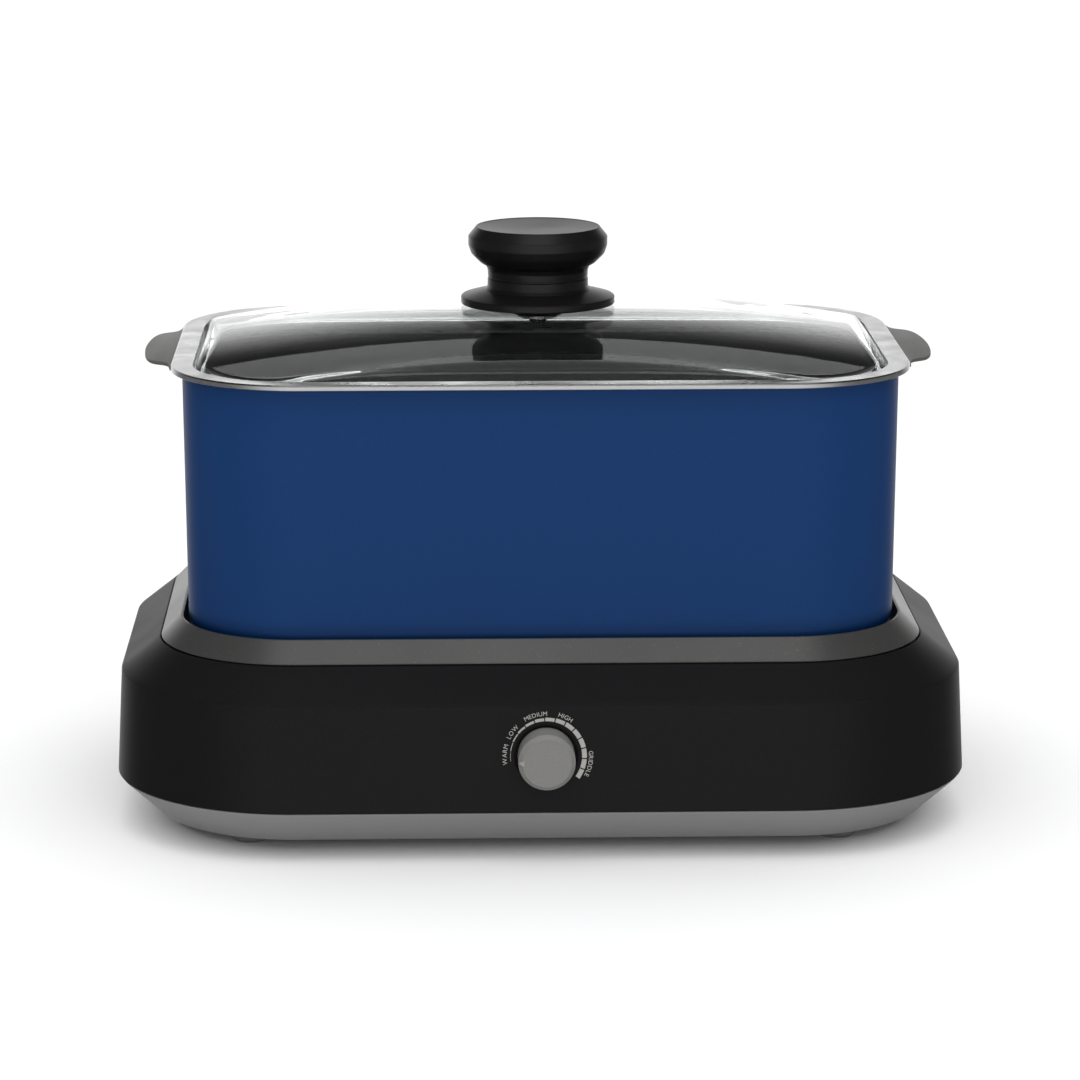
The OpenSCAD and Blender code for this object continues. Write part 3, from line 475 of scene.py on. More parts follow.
def shaded(name, mesh, smooth=35.0):
    mesh.polygons.foreach_set("use_smooth", [True] * len(mesh.polygons))
    mesh.set_sharp_from_angle(angle=math.radians(smooth))
    made = bpy.data.objects.new(name, mesh)
    bpy.context.scene.collection.objects.link(made)
    return made


def sweep(name, profile, hx, hy, steps=28, zones=None, materials=(), cap=False, smooth=35.0):
    """Sweeps an outline (outward distance, height) round the corner centres.
    The outline runs upwards on its outer side. Open ones may be capped at both ends.
    Zones holds one finish number for each side of the outline."""
    vertices, faces, parts = [], [], []
    mid = MID_Y / MM
    for r, z in profile:
        vertices += [(x, y + mid, z) for x, y in ring_points(hx, hy, max(r, 0.02), steps)]
    n = 4 * (steps + 1)
    count = len(profile)
    for i in range(count if not cap else count - 1):
        k = (i + 1) % count
        for j in range(n):
            m = (j + 1) % n
            faces.append((i * n + j, i * n + m, k * n + m, k * n + j))
            parts.append(zones[i] if zones else 0)
    if cap:
        faces.append(tuple(reversed(range(n))))
        faces.append(tuple(range((count - 1) * n, count * n)))
        parts += [zones[0], zones[-1]] if zones else [0, 0]
    return mesh_object(name, vertices, faces, parts, materials, smooth)


def lathe(name, profile, centre, axis="Z", segments=96, materials=(), smooth=35.0):
    """Turns an outline (radius, height) about an axis; outline ends on the axis are closed."""
    vertices, faces, rings = [], [], []
    for r, h in profile:
        if r < 1e-6:
            rings.append([len(vertices)])
            vertices.append((0.0, 0.0, h))
        else:
            rings.append(list(range(len(vertices), len(vertices) + segments)))
            vertices += [(r * math.cos(2 * math.pi * k / segments),
                          r * math.sin(2 * math.pi * k / segments), h) for k in range(segments)]
    closed = len(rings[0]) > 1 and len(rings[-1]) > 1
    for i in range(len(rings) - (0 if closed else 1)):
        a, b = rings[i], rings[(i + 1) % len(rings)]
        for k in range(segments):
            m = (k + 1) % segments
            if len(a) == 1:
                faces.append((a[0], b[m], b[k]))
            elif len(b) == 1:
                faces.append((a[k], a[m], b[0]))
            else:
                faces.append((a[k], a[m], b[m], b[k]))
    cx, cy, cz = centre
    turned = []
    for x, y, z in vertices:
        if axis == "Z":
            turned.append((x + cx, y + cy, z + cz))
        else:  # the outline's height runs towards -Y
            turned.append((x + cx, -z + cy, y + cz))
    return mesh_object(name, turned, faces, None, materials, smooth)


def solidify_outline(name, outline, low, high, fillet, materials, place=None, smooth=40.0):
    """A flat plate with rounded edges from a closed outline of (x, y), counter-clockwise."""
    count = len(outline)
    steps = 4
    layers = []
    for k in range(steps + 1):
        angle = math.pi / 2 * k / steps
        layers.append((fillet * (1 - math.sin(angle)), low + fillet * (1 - math.cos(angle))))
    layers += [(inset, high + low - z) for inset, z in reversed(layers)]
    vertices = []
    for inset, z in layers:
        for i in range(count):
            here, before, after = (Vector(outline[i]), Vector(outline[i - 1]),
                                   Vector(outline[(i + 1) % count]))
            tangent = ((here - before).normalized() + (after - here).normalized()).normalized()
            inward = Vector((-tangent.y, tangent.x))
            point = here + inward * inset
            vertices.append((point.x, point.y, z))
    faces = []
    for i in range(len(layers) - 1):
        for j in range(count):
            m = (j + 1) % count
            faces.append((i * count + j, i * count + m, (i + 1) * count + m, (i + 1) * count + j))
    faces.append(tuple(reversed(range(count))))
    faces.append(tuple(range((len(layers) - 1) * count, len(layers) * count)))
    if place:
        vertices = [place(v) for v in vertices]
    return mesh_object(name, vertices, faces, None, materials, smooth)


def cut(target, cutters):
    """Cuts closed meshes out of a piece and keeps the result as a plain mesh."""
    for tool in cutters:
        hole = target.modifiers.new("cut", "BOOLEAN")
        hole.operation = "DIFFERENCE"
        hole.solver = "EXACT"
        hole.object = tool
    name = target.name
    graph = bpy.context.evaluated_depsgraph_get()
    mesh = bpy.data.meshes.new_from_object(target.evaluated_get(graph))
    target.modifiers.clear()
    bpy.data.objects.remove(target)
    for tool in cutters:
        bpy.data.objects.remove(tool)
    return shaded(name, mesh)


def cylinder_tool(x, y, z, radius, depth, axis="Y", segments=96):
    """A closed round cutter centred on its axis."""
    tool = bmesh.new()
    bmesh.ops.create_cone(tool, cap_ends=True, segments=segments, radius1=radius * MM,
                          radius2=radius * MM, depth=depth * MM)
    if axis == "Y":
        bmesh.ops.rotate(tool, verts=tool.verts, matrix=Matrix.Rotation(math.pi / 2, 3, "X"))
    bmesh.ops.translate(tool, verts=tool.verts, vec=Vector((x, y, z)) * MM)
    mesh = bpy.data.meshes.new("tool")
    tool.to_mesh(mesh)
    tool.free()
    made = bpy.data.objects.new("tool", mesh)
    bpy.context.scene.collection.objects.link(made)
    return made


def box_tool(boxes):
    """One closed cutter made of separate boxes ((x0, y0, z0), (x1, y1, z1)) in millimetres."""
    vertices, faces = [], []
    for low, high in boxes:
        start = len(vertices)
        for x in (low[0], high[0]):
            for y in (low[1], high[1]):
                for z in (low[2], high[2]):
                    vertices.append((x, y, z))
        for face in ((0, 1, 3, 2), (4, 6, 7, 5), (0, 4, 5, 1), (2, 3, 7, 6), (0, 2, 6, 4),
                     (1, 5, 7, 3)):
            faces.append(tuple(start + i for i in face))
    return mesh_object("tool", vertices, faces)


def repeat_tree():
    """Geometry nodes: one shape on every point of a layout, made real, with its finish."""
    tree = bpy.data.node_groups.new("Repeat on points", "GeometryNodeTree")
    for label, kind in (("Layout", "NodeSocketGeometry"), ("Shape", "NodeSocketObject"),
                        ("Finish", "NodeSocketMaterial"), ("Turn", "NodeSocketFloat"),
                        ("Size", "NodeSocketFloat")):
        tree.interface.new_socket(label, in_out="INPUT", socket_type=kind)
    tree.interface.new_socket("Result", in_out="OUTPUT", socket_type="NodeSocketGeometry")
    taken, given = tree.nodes.new("NodeGroupInput"), tree.nodes.new("NodeGroupOutput")
    shape = tree.nodes.new("GeometryNodeObjectInfo")
    placed = tree.nodes.new("GeometryNodeInstanceOnPoints")
    spin = tree.nodes.new("FunctionNodeRandomValue")
    spin.data_type = "FLOAT"
    spin.inputs["Seed"].default_value = 7
    turn = tree.nodes.new("ShaderNodeCombineXYZ")
    real = tree.nodes.new("GeometryNodeRealizeInstances")
    coat = tree.nodes.new("GeometryNodeSetMaterial")
    link = tree.links.new
    link(taken.outputs["Shape"], shape.inputs["Object"])
    link(taken.outputs["Layout"], placed.inputs["Points"])
    link(shape.outputs["Geometry"], placed.inputs["Instance"])
    link(taken.outputs["Turn"], spin.inputs[3])
    link(spin.outputs[1], turn.inputs["Z"])
    link(turn.outputs[0], placed.inputs["Rotation"])
    link(taken.outputs["Size"], placed.inputs["Scale"])
    link(placed.outputs["Instances"], real.inputs["Geometry"])
    link(real.outputs["Geometry"], coat.inputs["Geometry"])
    link(taken.outputs["Finish"], coat.inputs["Material"])
    link(coat.outputs["Geometry"], given.inputs["Result"])
    return tree


def repeated(name, shape, points, finish, turn=0.0):
    """Puts a shape on each point through geometry nodes and returns one plain mesh piece."""
    tree = bpy.data.node_groups.get("Repeat on points") or repeat_tree()
    layout = mesh_object(name + "_layout", points, [])
    wired = layout.modifiers.new("Repeat", "NODES")
    wired.node_group = tree
    values = {"Shape": shape, "Finish": finish, "Turn": turn, "Size": 1.0}
    for item in tree.interface.items_tree:
        if item.item_type == "SOCKET" and item.in_out == "INPUT" and item.name in values:
            wired[item.identifier] = values[item.name]
    graph = bpy.context.evaluated_depsgraph_get()
    mesh = bpy.data.meshes.new_from_object(layout.evaluated_get(graph))
    layout.modifiers.clear()
    bpy.data.objects.remove(layout)
    bpy.data.objects.remove(shape)
    mesh.materials.clear()
    mesh.materials.append(finish)
    mesh.polygons.foreach_set("material_index", [0] * len(mesh.polygons))
    return shaded(name, mesh)


def phillips_head(radius, height, shank, shank_length):
    """A pan-head cross-slot screw, head down, standing on z = 0 at the head's crown."""
    head = lathe("screw_shape", [(0, 0)] + [
        (radius * math.sin(a), height * (1 - math.cos(a)) * 0.75)
        for a in (0.25, 0.5, 0.75, 1.0, 1.25, 1.5)] + [
        (radius, height * 0.8), (radius, height), (shank, height),
        (shank, height + shank_length - 1), (shank * 0.3, height + shank_length),
        (0, height + shank_length)], (0, 0, 0), segments=32, materials=[])
    slot = 0.16 * radius
    return cut(head, [box_tool([((-0.62 * radius, -slot, -1), (0.62 * radius, slot, 0.55 * height)),
                                ]), box_tool([((-slot, -0.62 * radius, -1),
                                               (slot, 0.62 * radius, 0.55 * height))])])


def settle(piece, body, slot, *nodes):
    """Rides a finished piece on its body and hides what it stands for; the slot is not used."""
    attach(piece, body)
    if nodes:
        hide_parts(*nodes)
    return piece


# ---------------------------------------------------------------- operators

class CookerPiece:
    bl_options = {"REGISTER", "UNDO"}

    def numbers(self, group):
        """A property group's lengths in millimetres, by name."""
        found = getattr(bpy.context.scene, group)
        return {k: getattr(found, k) / MM for k in found.bl_rna.properties.keys()
                if k not in ("rna_type", "name") and isinstance(getattr(found, k), float)}


def four_corners(x, y, z):
    """The four points at these distances from the middle of the cooker, at one height."""
    return [(sx * x, MID_Y / MM + sy * y, z) for sx in (-1, 1) for sy in (-1, 1)]


def base_outline(s):
    """The lines of the base: outward distance from the corner centres, and height."""
    wall = s["corner"] - s["wall_draft"]
    shoulder = wall - s["shoulder_in"]
    rim = shoulder - s["rim_in"]
    return wall, shoulder, rim, BASE_BOX[1].x / MM - s["corner"], (
        (BASE_BOX[1].y - BASE_BOX[0].y) / 2 / MM - s["corner"])


class COOKER_OT_finishes(bpy.types.Operator, CookerPiece):
    """Makes every finish of the cooker"""
    bl_idname = "cooker.finishes"
    bl_label = "Finishes"

    def execute(self, context):
        make_finishes(context.scene.cooker_colours)
        return {"FINISHED"}


class COOKER_OT_housing(bpy.types.Operator, CookerPiece):
    """Black housing: leaning wall, sloping shoulder, knob well and cord outlet"""
    bl_idname = "cooker.housing"
    bl_label = "Housing"

    def execute(self, context):
        s = self.numbers("cooker_base")
        d = self.numbers("cooker_dial")
        wall, shoulder, _, hx, hy = base_outline(s)
        bottom, t = s["border_height"], 2.6
        profile = rounded([
            (s["corner"], bottom, 0.35), (wall, s["wall_top"], 1.5),
            (shoulder, s["shoulder_top"] - 0.25, 0.5), (shoulder - 2.2, s["shoulder_top"] - 3.5, 0.2),
            (shoulder - 16.5, s["shoulder_top"] - 3.5, 0.2),
            (shoulder - 16.5, s["shoulder_top"] - 6.1, 0.2),
            (shoulder + 2.6, s["shoulder_top"] - 6.1, 0.4), (wall - t, s["wall_top"] - 1.4, 0.8),
            (s["corner"] - t, bottom, 0.2)])
        piece = sweep("housing_shell", profile, hx, hy, 32, None, [FINISH["housing"]])
        z = (DIAL_BOX[0].z + DIAL_BOX[1].z) / 2 / MM
        lean = s["wall_draft"] / (s["wall_top"] - bottom)
        front = MID_Y / MM - hy - s["corner"] + lean * (z - bottom)
        well_floor = front + d["well_depth"]
        shaft_hole = 4.9
        cup = lathe("knob_well", rounded([
            (shaft_hole, 0.0, 0), (d["well"] + 1.8, 0.0, 0.3), (d["well"] + 1.8, 1.6, 0),
            (d["well"] + 0.01, 1.6, 0), (d["well"] + 0.01, 1.2, 0.5), (shaft_hole, 1.2, 0)]), (
                0, well_floor + 1.2, z), "Y", 96, [FINISH["housing"]])
        rear = MID_Y / MM + hy + s["corner"] - lean * (36 - bottom)
        gx = (GROMMET_BOX[0].x + GROMMET_BOX[1].x) / 2 / MM
        gz = (GROMMET_BOX[0].z + GROMMET_BOX[1].z) / 2 / MM
        piece = cut(piece, [
            cylinder_tool(0, front - 10, z, d["well"], 20 + 2 * d["well_depth"] + 6, "Y"),
            cylinder_tool(gx, rear, gz, 5.7, 30, "Y", 48)])
        settle(piece, "base", "housing_black", "base_housing")
        settle(cup, "base", "housing_black")
        return {"FINISHED"}


class COOKER_OT_cover(bpy.types.Operator, CookerPiece):
    """Grey bottom cover with its vent slots, screw wells and feet"""
    bl_idname = "cooker.cover"
    bl_label = "Bottom cover"

    def execute(self, context):
        s = self.numbers("cooker_base")
        *_, hx, hy = base_outline(s)
        low, high = COVER_BOX[0].z / MM, s["border_height"]
        floor_r = s["corner"] - s["cover_in"]
        mid = MID_Y / MM
        profile = rounded([
            (0.02, low, 0), (floor_r - 0.5, low, 1.2), (s["corner"] - 0.3, high - 0.4, 0.35),
            (s["corner"] - 3.1, high - 0.4, 0.2), (s["corner"] - 3.2, high + 4, 0.2),
            (s["corner"] - 4.8, high + 4, 0.2), (s["corner"] - 4.8, high - 1, 0.5),
            (floor_r - 2.2, low + 2.5, 0.8), (0.02, low + 2.5, 0)], False)
        piece = sweep("bottom_cover_shell", profile, hx, hy, 32, None, [FINISH["cover"]], cap=True)
        slots = []
        pitch, half_wide, half_long, row = 9, 1.5, 22, 44
        for k in range(-6, 7):
            for side in (-1, 1):
                x, y = k * pitch, mid + side * row
                slots.append(((x - half_wide, y - half_long, low - 1),
                              (x + half_wide, y + half_long, low + 4)))
        packed_head, screw_head, foot = 3.1, 3.0, 9
        screw_x = SCREW_BOX[1].x / MM - packed_head
        screw_y = (SCREW_BOX[1].y - MID_Y) / MM - packed_head
        wells = [cylinder_tool(*corner, 3.7, 4.4, "Z", 40)
                 for corner in four_corners(screw_x, screw_y, low)]
        piece = cut(piece, [box_tool(slots)] + wells)
        settle(piece, "base", "cover_grey", "bottom_cover")
        shape = lathe("foot_shape", rounded([
            (0, 0.5, 0), (4.6, 0.5, 0.3), (5.0, 0, 0.2), (7.6, 0, 1.0), (foot, 1.4, 0.4),
            (foot, low, 0), (0, low, 0)], False, 4), (0, 0, 0), segments=48, materials=[])
        foot_x, foot_y = FOOT_BOX[1].x / MM - foot, (FOOT_BOX[1].y - MID_Y) / MM - foot
        feet = repeated("feet", shape, four_corners(foot_x, foot_y, 0), FINISH["rubber"])
        settle(feet, "base", "rubber_grey", "rubber_feet")
        screws = repeated("cover_screws", phillips_head(screw_head, 1.9, 1.45, 14),
                          four_corners(screw_x, screw_y, low + 0.9), FINISH["zinc"], 1.5)
        settle(screws, "base", "zinc_steel", "housing_screws")
        return {"FINISHED"}


class COOKER_OT_griddle(bpy.types.Operator, CookerPiece):
    """Coated griddle plate with its sloping rim"""
    bl_idname = "cooker.griddle"
    bl_label = "Griddle plate"

    def execute(self, context):
        s = self.numbers("cooker_base")
        _, shoulder, rim, hx, hy = base_outline(s)
        under = s["shoulder_top"] - 2.0
        top, rim_top = under + 4, s["shoulder_top"] + 8.8
        bowl = rim - 1.2
        profile = rounded([
            (0.02, under, 0), (shoulder - 3, under, 0.3), (shoulder - 0.45, s["shoulder_top"] + 0.1, 0.4),
            (rim, rim_top, 0.55), (bowl, rim_top, 0.4), (bowl - 0.7, top + 2.6, 0),
            (bowl - 2.2, top + 0.6, 1.6), (bowl - 4, top, 1.6), (0.02, top, 0)], False)
        piece = sweep("griddle_rim_plate", profile, hx, hy, 32, None, [FINISH["griddle"]], cap=True)
        settle(piece, "base", "griddle_coating", "griddle_plate")
        return {"FINISHED"}


class COOKER_OT_pot(bpy.types.Operator, CookerPiece):
    """Blue pot with its bare rim, lid seat and dark inside"""
    bl_idname = "cooker.pot"
    bl_label = "Pot"

    def execute(self, context):
        s = self.numbers("cooker_pot")
        hx, hy = s["wall_width"] / 2 - s["corner"], s["wall_depth"] / 2 - s["corner"]
        low, top = POT_BOX[0].z / MM, POT_BOX[1].z / MM
        wall = s["corner"] + s["flare"]
        out = POT_BOX[1].x / MM - hx
        rim_inner = 4.7
        inner, seat = wall - rim_inner, top - s["seat_depth"]
        profile = rounded([
            (0.02, low, 0), (s["corner"], low, s["edge"]), (wall, top - 1.2, 0.3),
            (out - 1.1, top - 1.2, 0.1), (out - 1.1, top - 2.4, 0.25), (out, top - 2.4, 0.4),
            (out, top, 0.75), (inner, top, 0.7), (inner, seat, 0.25), (inner - 3.4, seat, 0.6),
            (inner - 3.3, seat - 1.6, 0.6), (wall - s["wall"], seat - 6.5, 3.0),
            (s["corner"] - s["wall"], low + s["wall"], s["edge"] - 2), (0.02, low + s["wall"], 0)],
            False, 6)
        heights = [z for _, z in profile]
        rim_from = next(i for i, z in enumerate(heights) if z > top - 2.6)
        rim_to = max(i for i, z in enumerate(heights) if z > seat - 7) + 1
        zones = [0 if i < rim_from else 1 if i < rim_to else 2 for i in range(len(profile))]
        piece = sweep("pot_vessel", profile, hx, hy, 32, zones,
                      [FINISH["pot"], FINISH["rim"], FINISH["inside"]], cap=True)
        notch = HANDLE_BOX[1].y / MM - MID_Y / MM + 0.3
        mid = MID_Y / MM
        piece = cut(piece, [box_tool([
            ((wall + hx + 1, mid - notch, top - 4), (out + hx + 3, mid + notch, top - 1.2)),
            ((-out - hx - 3, mid - notch, top - 4), (-wall - hx - 1, mid + notch, top - 1.2))])])
        settle(piece, "pot", "pot_enamel", "pot_shell")
        return {"FINISHED"}


class COOKER_OT_handles(bpy.types.Operator, CookerPiece):
    """Flat side handles under the rim, and the pins that hold them"""
    bl_idname = "cooker.handles"
    bl_label = "Side handles"

    def execute(self, context):
        low, high = HANDLE_BOX[0].z / MM, HANDLE_BOX[1].z / MM
        root, tip = HANDLE_BOX[0].x / MM, HANDLE_BOX[1].x / MM
        half = (HANDLE_BOX[1].y - HANDLE_BOX[0].y) / 2 / MM
        mid = MID_Y / MM
        knots = [(root, half), (root + 4.9, half), (root + 5.6, 0.88 * half), (root + 6.6, 0.81 * half),
                 (root + 8.3, 0.76 * half), (root + 11.1, 0.72 * half), (tip - 4.8, 0.67 * half),
                 (tip - 2.9, 0.58 * half), (tip - 1.6, 0.46 * half), (tip - 0.5, 0.26 * half)]
        knots = knots[:2] + smooth_line(knots[1:] + [(tip, 0)] + [
            (x, -y) for x, y in reversed(knots[1:])], 4)[1:-1] + [
            (x, -y) for x, y in reversed(knots[:2])]
        for side, name, cad in ((1, "handle_plate_right", "handle_right"),
                                (-1, "handle_plate_left", "handle_left")):
            outline = [(side * x, y + mid) for x, y in knots]
            if side > 0:
                outline.reverse()
            piece = solidify_outline(name, outline, low, high, 0.45, [FINISH["handle"]])
            settle(piece, "pot", "handle_coating", cad)
        shape = lathe("pin_shape", rounded([
            (0, -0.8, 0), (1.3, -0.8, 0.25), (1.6, -0.1, 0.1), (1.6, 0, 0), (1.0, 0, 0), (1.0, 2.2, 0),
            (0, 2.2, 0)], False, 3), (0, 0, 0), segments=28, materials=[])
        places = [(side * (root + 1.8), mid + k * 0.76 * half, low) for side in (-1, 1)
                  for k in (-1, 0, 1)]
        pins = repeated("handle_pin_heads", shape, places, FINISH["zinc"])
        settle(pins, "pot", "pin_aluminium", "handle_pins")
        return {"FINISHED"}


def smooth_line(points, steps):
    """A smooth curve through the points, with the ends kept."""
    out = []
    for i in range(len(points) - 1):
        p0 = Vector(points[max(i - 1, 0)])
        p1, p2 = Vector(points[i]), Vector(points[i + 1])
        p3 = Vector(points[min(i + 2, len(points) - 1)])
        for k in range(steps):
            t = k / steps
            out.append(tuple(0.5 * ((2 * p1) + (p2 - p0) * t + (2 * p0 - 5 * p1 + 4 * p2 - p3) * t * t
                                    + (3 * p1 - p0 - 3 * p2 + p3) * t ** 3)))
    out.append(tuple(points[-1]))
    return out


class COOKER_OT_lid(bpy.types.Operator, CookerPiece):
    """Domed tempered glass lid, dropped into the rim"""
    bl_idname = "cooker.lid"
    bl_label = "Glass lid"

    def execute(self, context):
        s = self.numbers("cooker_lid")
        p = self.numbers("cooker_pot")
        hx, hy = p["wall_width"] / 2 - p["corner"], p["wall_depth"] / 2 - p["corner"]
        edge = GLASS_BOX[1].x / MM - hx
        seat, crown = GLASS_BOX[0].z / MM, GLASS_BOX[1].z / MM
        border = 9
        span_x, span_y = hx + edge - border, hy + edge - border
        mid = MID_Y / MM

        def height(x, y):
            """Height of the outer surface: the crown, run smoothly into the steep shoulder."""
            inward = edge - math.hypot(max(abs(x) - hx, 0.0), max(abs(y) - hy, 0.0))
            a = crown - s["fall_x"] * (x / span_x) ** 2 - s["fall_y"] * (y / span_y) ** 2
            b = seat + (4.2 + 1.9 * inward if inward < 2.5 else 8.95 + 0.85 * (inward - 2.5))
            blend = 3.0
            h = max(blend - abs(a - b), 0.0) / blend
            return min(a, b) - h * h * blend * 0.25

        def under(x, y):
            """The point of the inner surface square in from the outer one."""
            d = 0.05
            slope_x = (height(x + d, y) - height(x - d, y)) / (2 * d)
            slope_y = (height(x, y + d) - height(x, y - d)) / (2 * d)
            size = s["glass"] / math.sqrt(1 + slope_x ** 2 + slope_y ** 2)
            return x + slope_x * size, y + slope_y * size, height(x, y) - size

        steps, between, vertices, faces = 20, 24, [], []

        def ring(inward):
            return ring_points(hx, hy, edge - inward, steps, between)

        outer = [ring(i) for i in (0.05, 0.4, 0.9, 1.5, 2.0, 2.45, 2.9, 3.5, 4.2, 5.0, 5.8, 6.6, 7.4,
                                   8.2, 9.0, 9.9, 11, 12.6, 15.5, 19, 23.5, 29)]
        last = outer[-1]
        outer += [[(x * f, y * f) for x, y in last] for f in (
            0.94, 0.87, 0.79, 0.70, 0.6, 0.5, 0.4, 0.31, 0.23, 0.16, 0.10)]
        outer.append([(3.3 * x / math.hypot(x, y), 3.3 * y / math.hypot(x, y)) for x, y in last])
        inner = [[under(x, y) for x, y in row] for row in outer]
        rows = [[(x, y, height(x, y)) for x, y in row] for row in outer]
        rows += list(reversed(inner))
        for inward, z in ((3.5, 0.3), (3.2, 0.0), (0.6, 0.0), (0.0, 0.6), (0.0, 3.6)):
            rows.append([(x, y, seat + z) for x, y in ring(inward)])
        n = len(last)
        for row in rows:
            vertices += [(x, y + mid, z) for x, y, z in row]
        for k in range(len(rows)):
            a, b = k * n, (k + 1) % len(rows) * n
            for j in range(n):
                m = (j + 1) % n
                faces.append((a + j, a + m, b + m, b + j))
        piece = mesh_object("glass_dome", vertices, faces, None, [FINISH["glass"]], 50.0)
        settle(piece, "lid", "clear_glass", "lid_glass")
        return {"FINISHED"}


class COOKER_OT_grip(bpy.types.Operator, CookerPiece):
    """Lid knob: waisted head with a chamfered top, on its flange"""
    bl_idname = "cooker.grip"
    bl_label = "Lid knob"

    def execute(self, context):
        s = self.numbers("cooker_lid")
        mid = MID_Y / MM
        low, top = GRIP_BASE_BOX[0].z / MM, GRIP_BOX[1].z / MM
        seam = GRIP_BOX[0].z / MM
        neck, head, flange = s["neck"], s["head"], s["flange"]
        tall = top - low
        upper = lathe("lid_knob_head", rounded([
            (0, seam - low, 0), (neck - 0.25, seam - low, 0.2), (neck - 0.1, 14.9, 0.8),
            (neck + 0.6, 16.8, 1.2), (neck + 3.3, 18.4, 2.0), (head - 1.2, 22.3, 3.4),
            (head, 25.9, 2.2), (head, tall - 4.3, 0.8), (head - 3.55, tall, 0.5),
            (head - 4.6, tall - 0.25, 0.4), (8, tall - 1.0, 0), (0, tall - 1.05, 0)], False, 6),
            (0, mid, low), "Z", 128, [FINISH["grip"]])
        settle(upper, "lid", "knob_black", "lid_knob")
        lower = lathe("lid_knob_flange", rounded([
            (0, 0.1, 0), (flange - 1.2, 0, 0.3), (flange, 0.2, 0.5), (flange, 3.3, 0.8),
            (neck + 1.2, 6.1, 1.4), (neck, 7.4, 1.0), (neck - 0.1, 11.2, 0.25), (neck - 0.7, 11.5, 0),
            (neck - 0.7, 12.1, 0), (0, 12.1, 0)], False, 6), (0, mid, low), "Z", 128,
            [FINISH["grip"]])
        settle(lower, "lid", "knob_black", "lid_knob_base")
        return {"FINISHED"}


class COOKER_OT_dial(bpy.types.Operator, CookerPiece):
    """Control knob with its pointer, the printed scale and its words"""
    bl_idname = "cooker.dial"
    bl_label = "Dial"

    def execute(self, context):
        b = self.numbers("cooker_base")
        d = self.numbers("cooker_dial")
        sizes = context.scene.cooker_dial
        radius = (DIAL_BOX[1].x - DIAL_BOX[0].x) / 2 / MM
        z = (DIAL_BOX[0].z + DIAL_BOX[1].z) / 2 / MM
        back, front = DIAL_BOX[1].y / MM, DIAL_BOX[0].y / MM
        tall = back - front
        knob = lathe("dial_knob", rounded([
            (0, 2.5, 0), (radius - 2.2, 2.5, 0.3), (radius - 1.9, 0.1, 0.2), (radius - 0.5, 0, 0.2),
            (radius - 0.05, 0.5, 0.2), (radius, tall - 1.9, 0.2), (radius - 1.75, tall - 0.05, 0.25),
            (radius - 2.6, tall - 0.2, 0.2), (4, tall - 0.2, 0), (0, tall - 0.2, 0)], False, 4),
            (0, back, z), "Y", 128, [FINISH["dial"]])
        pointer = solidify_outline("dial_pointer", [
            (-radius + 0.1, 0.0), (-radius + 2.5, 1.35), (-radius + 2.5, -1.35)][::-1],
            -3.0, 0.0, 0.1, [FINISH["pointer"]], lambda v: (v[0], front - v[2], z + v[1]))
        flip_out(pointer)
        settle(knob, "knob", "dial_grey", "control_knob")
        settle(pointer, "knob", "dial_grey")
        bottom = b["border_height"]
        lean = math.atan2(b["wall_draft"], b["wall_top"] - bottom)
        hy = base_outline(b)[-1]
        face = MID_Y / MM - hy - b["corner"] + math.tan(lean) * (z - bottom)

        def on_wall(v):
            """A point drawn on the wall: across, up, and out of it."""
            across, up, out = v
            return (across, face + up * math.sin(lean) - out * math.cos(lean),
                    z + up * math.cos(lean) + out * math.sin(lean))

        pitch = sizes.sweep / sizes.marks
        growth = [0.16, 0.3, 0.5, 0.8, 1.05, 1.3, 1.5, 1.7, 1.85, 1.95, 2.0]
        vertices, faces = [], []
        for k in range(sizes.marks):
            wide = growth[min(k, len(growth) - 1)]
            a0 = sizes.start - pitch * k - math.radians(0.9)
            a1 = a0 - pitch + math.radians(1.8)
            inner, outer = d["scale_radius"], d["scale_radius"] + wide
            start = len(vertices)
            steps = 7
            for out in (-0.02, 0.06):
                for r in (inner, outer):
                    for j in range(steps + 1):
                        a = a0 + (a1 - a0) * j / steps
                        vertices.append(on_wall((r * math.cos(a), r * math.sin(a), out)))
            n = steps + 1
            at = lambda layer, ring, j: start + (layer * 2 + ring) * n + j
            for j in range(steps):
                faces.append((at(1, 0, j), at(1, 1, j), at(1, 1, j + 1), at(1, 0, j + 1)))
                faces.append((at(0, 0, j), at(0, 0, j + 1), at(0, 1, j + 1), at(0, 1, j)))
                faces.append((at(0, 1, j), at(0, 1, j + 1), at(1, 1, j + 1), at(1, 1, j)))
                faces.append((at(0, 0, j + 1), at(0, 0, j), at(1, 0, j), at(1, 0, j + 1)))
            faces.append((at(0, 0, 0), at(0, 1, 0), at(1, 1, 0), at(1, 0, 0)))
            faces.append((at(0, 1, steps), at(0, 0, steps), at(1, 0, steps), at(1, 1, steps)))
        scale = mesh_object("dial_scale", vertices, faces, None, [FINISH["ink"]])
        flip_out(scale)
        settle(scale, "base", "dial_grey")
        words = (("WARM", 177.5, 17.55), ("LOW", 143.5, 17.75), ("MEDIUM", 104.5, 18.2),
                 ("HIGH", 64.0, 18.55), ("GRIDDLE", -10.5, 18.8))
        letters = printed_words(words, d["letter"], on_wall)
        settle(letters, "base", "dial_grey")
        return {"FINISHED"}


def flip_out(piece):
    """Turns every face of a closed piece outwards."""
    work = bmesh.new()
    work.from_mesh(piece.data)
    bmesh.ops.recalc_face_normals(work, faces=work.faces)
    work.to_mesh(piece.data)
    work.free()


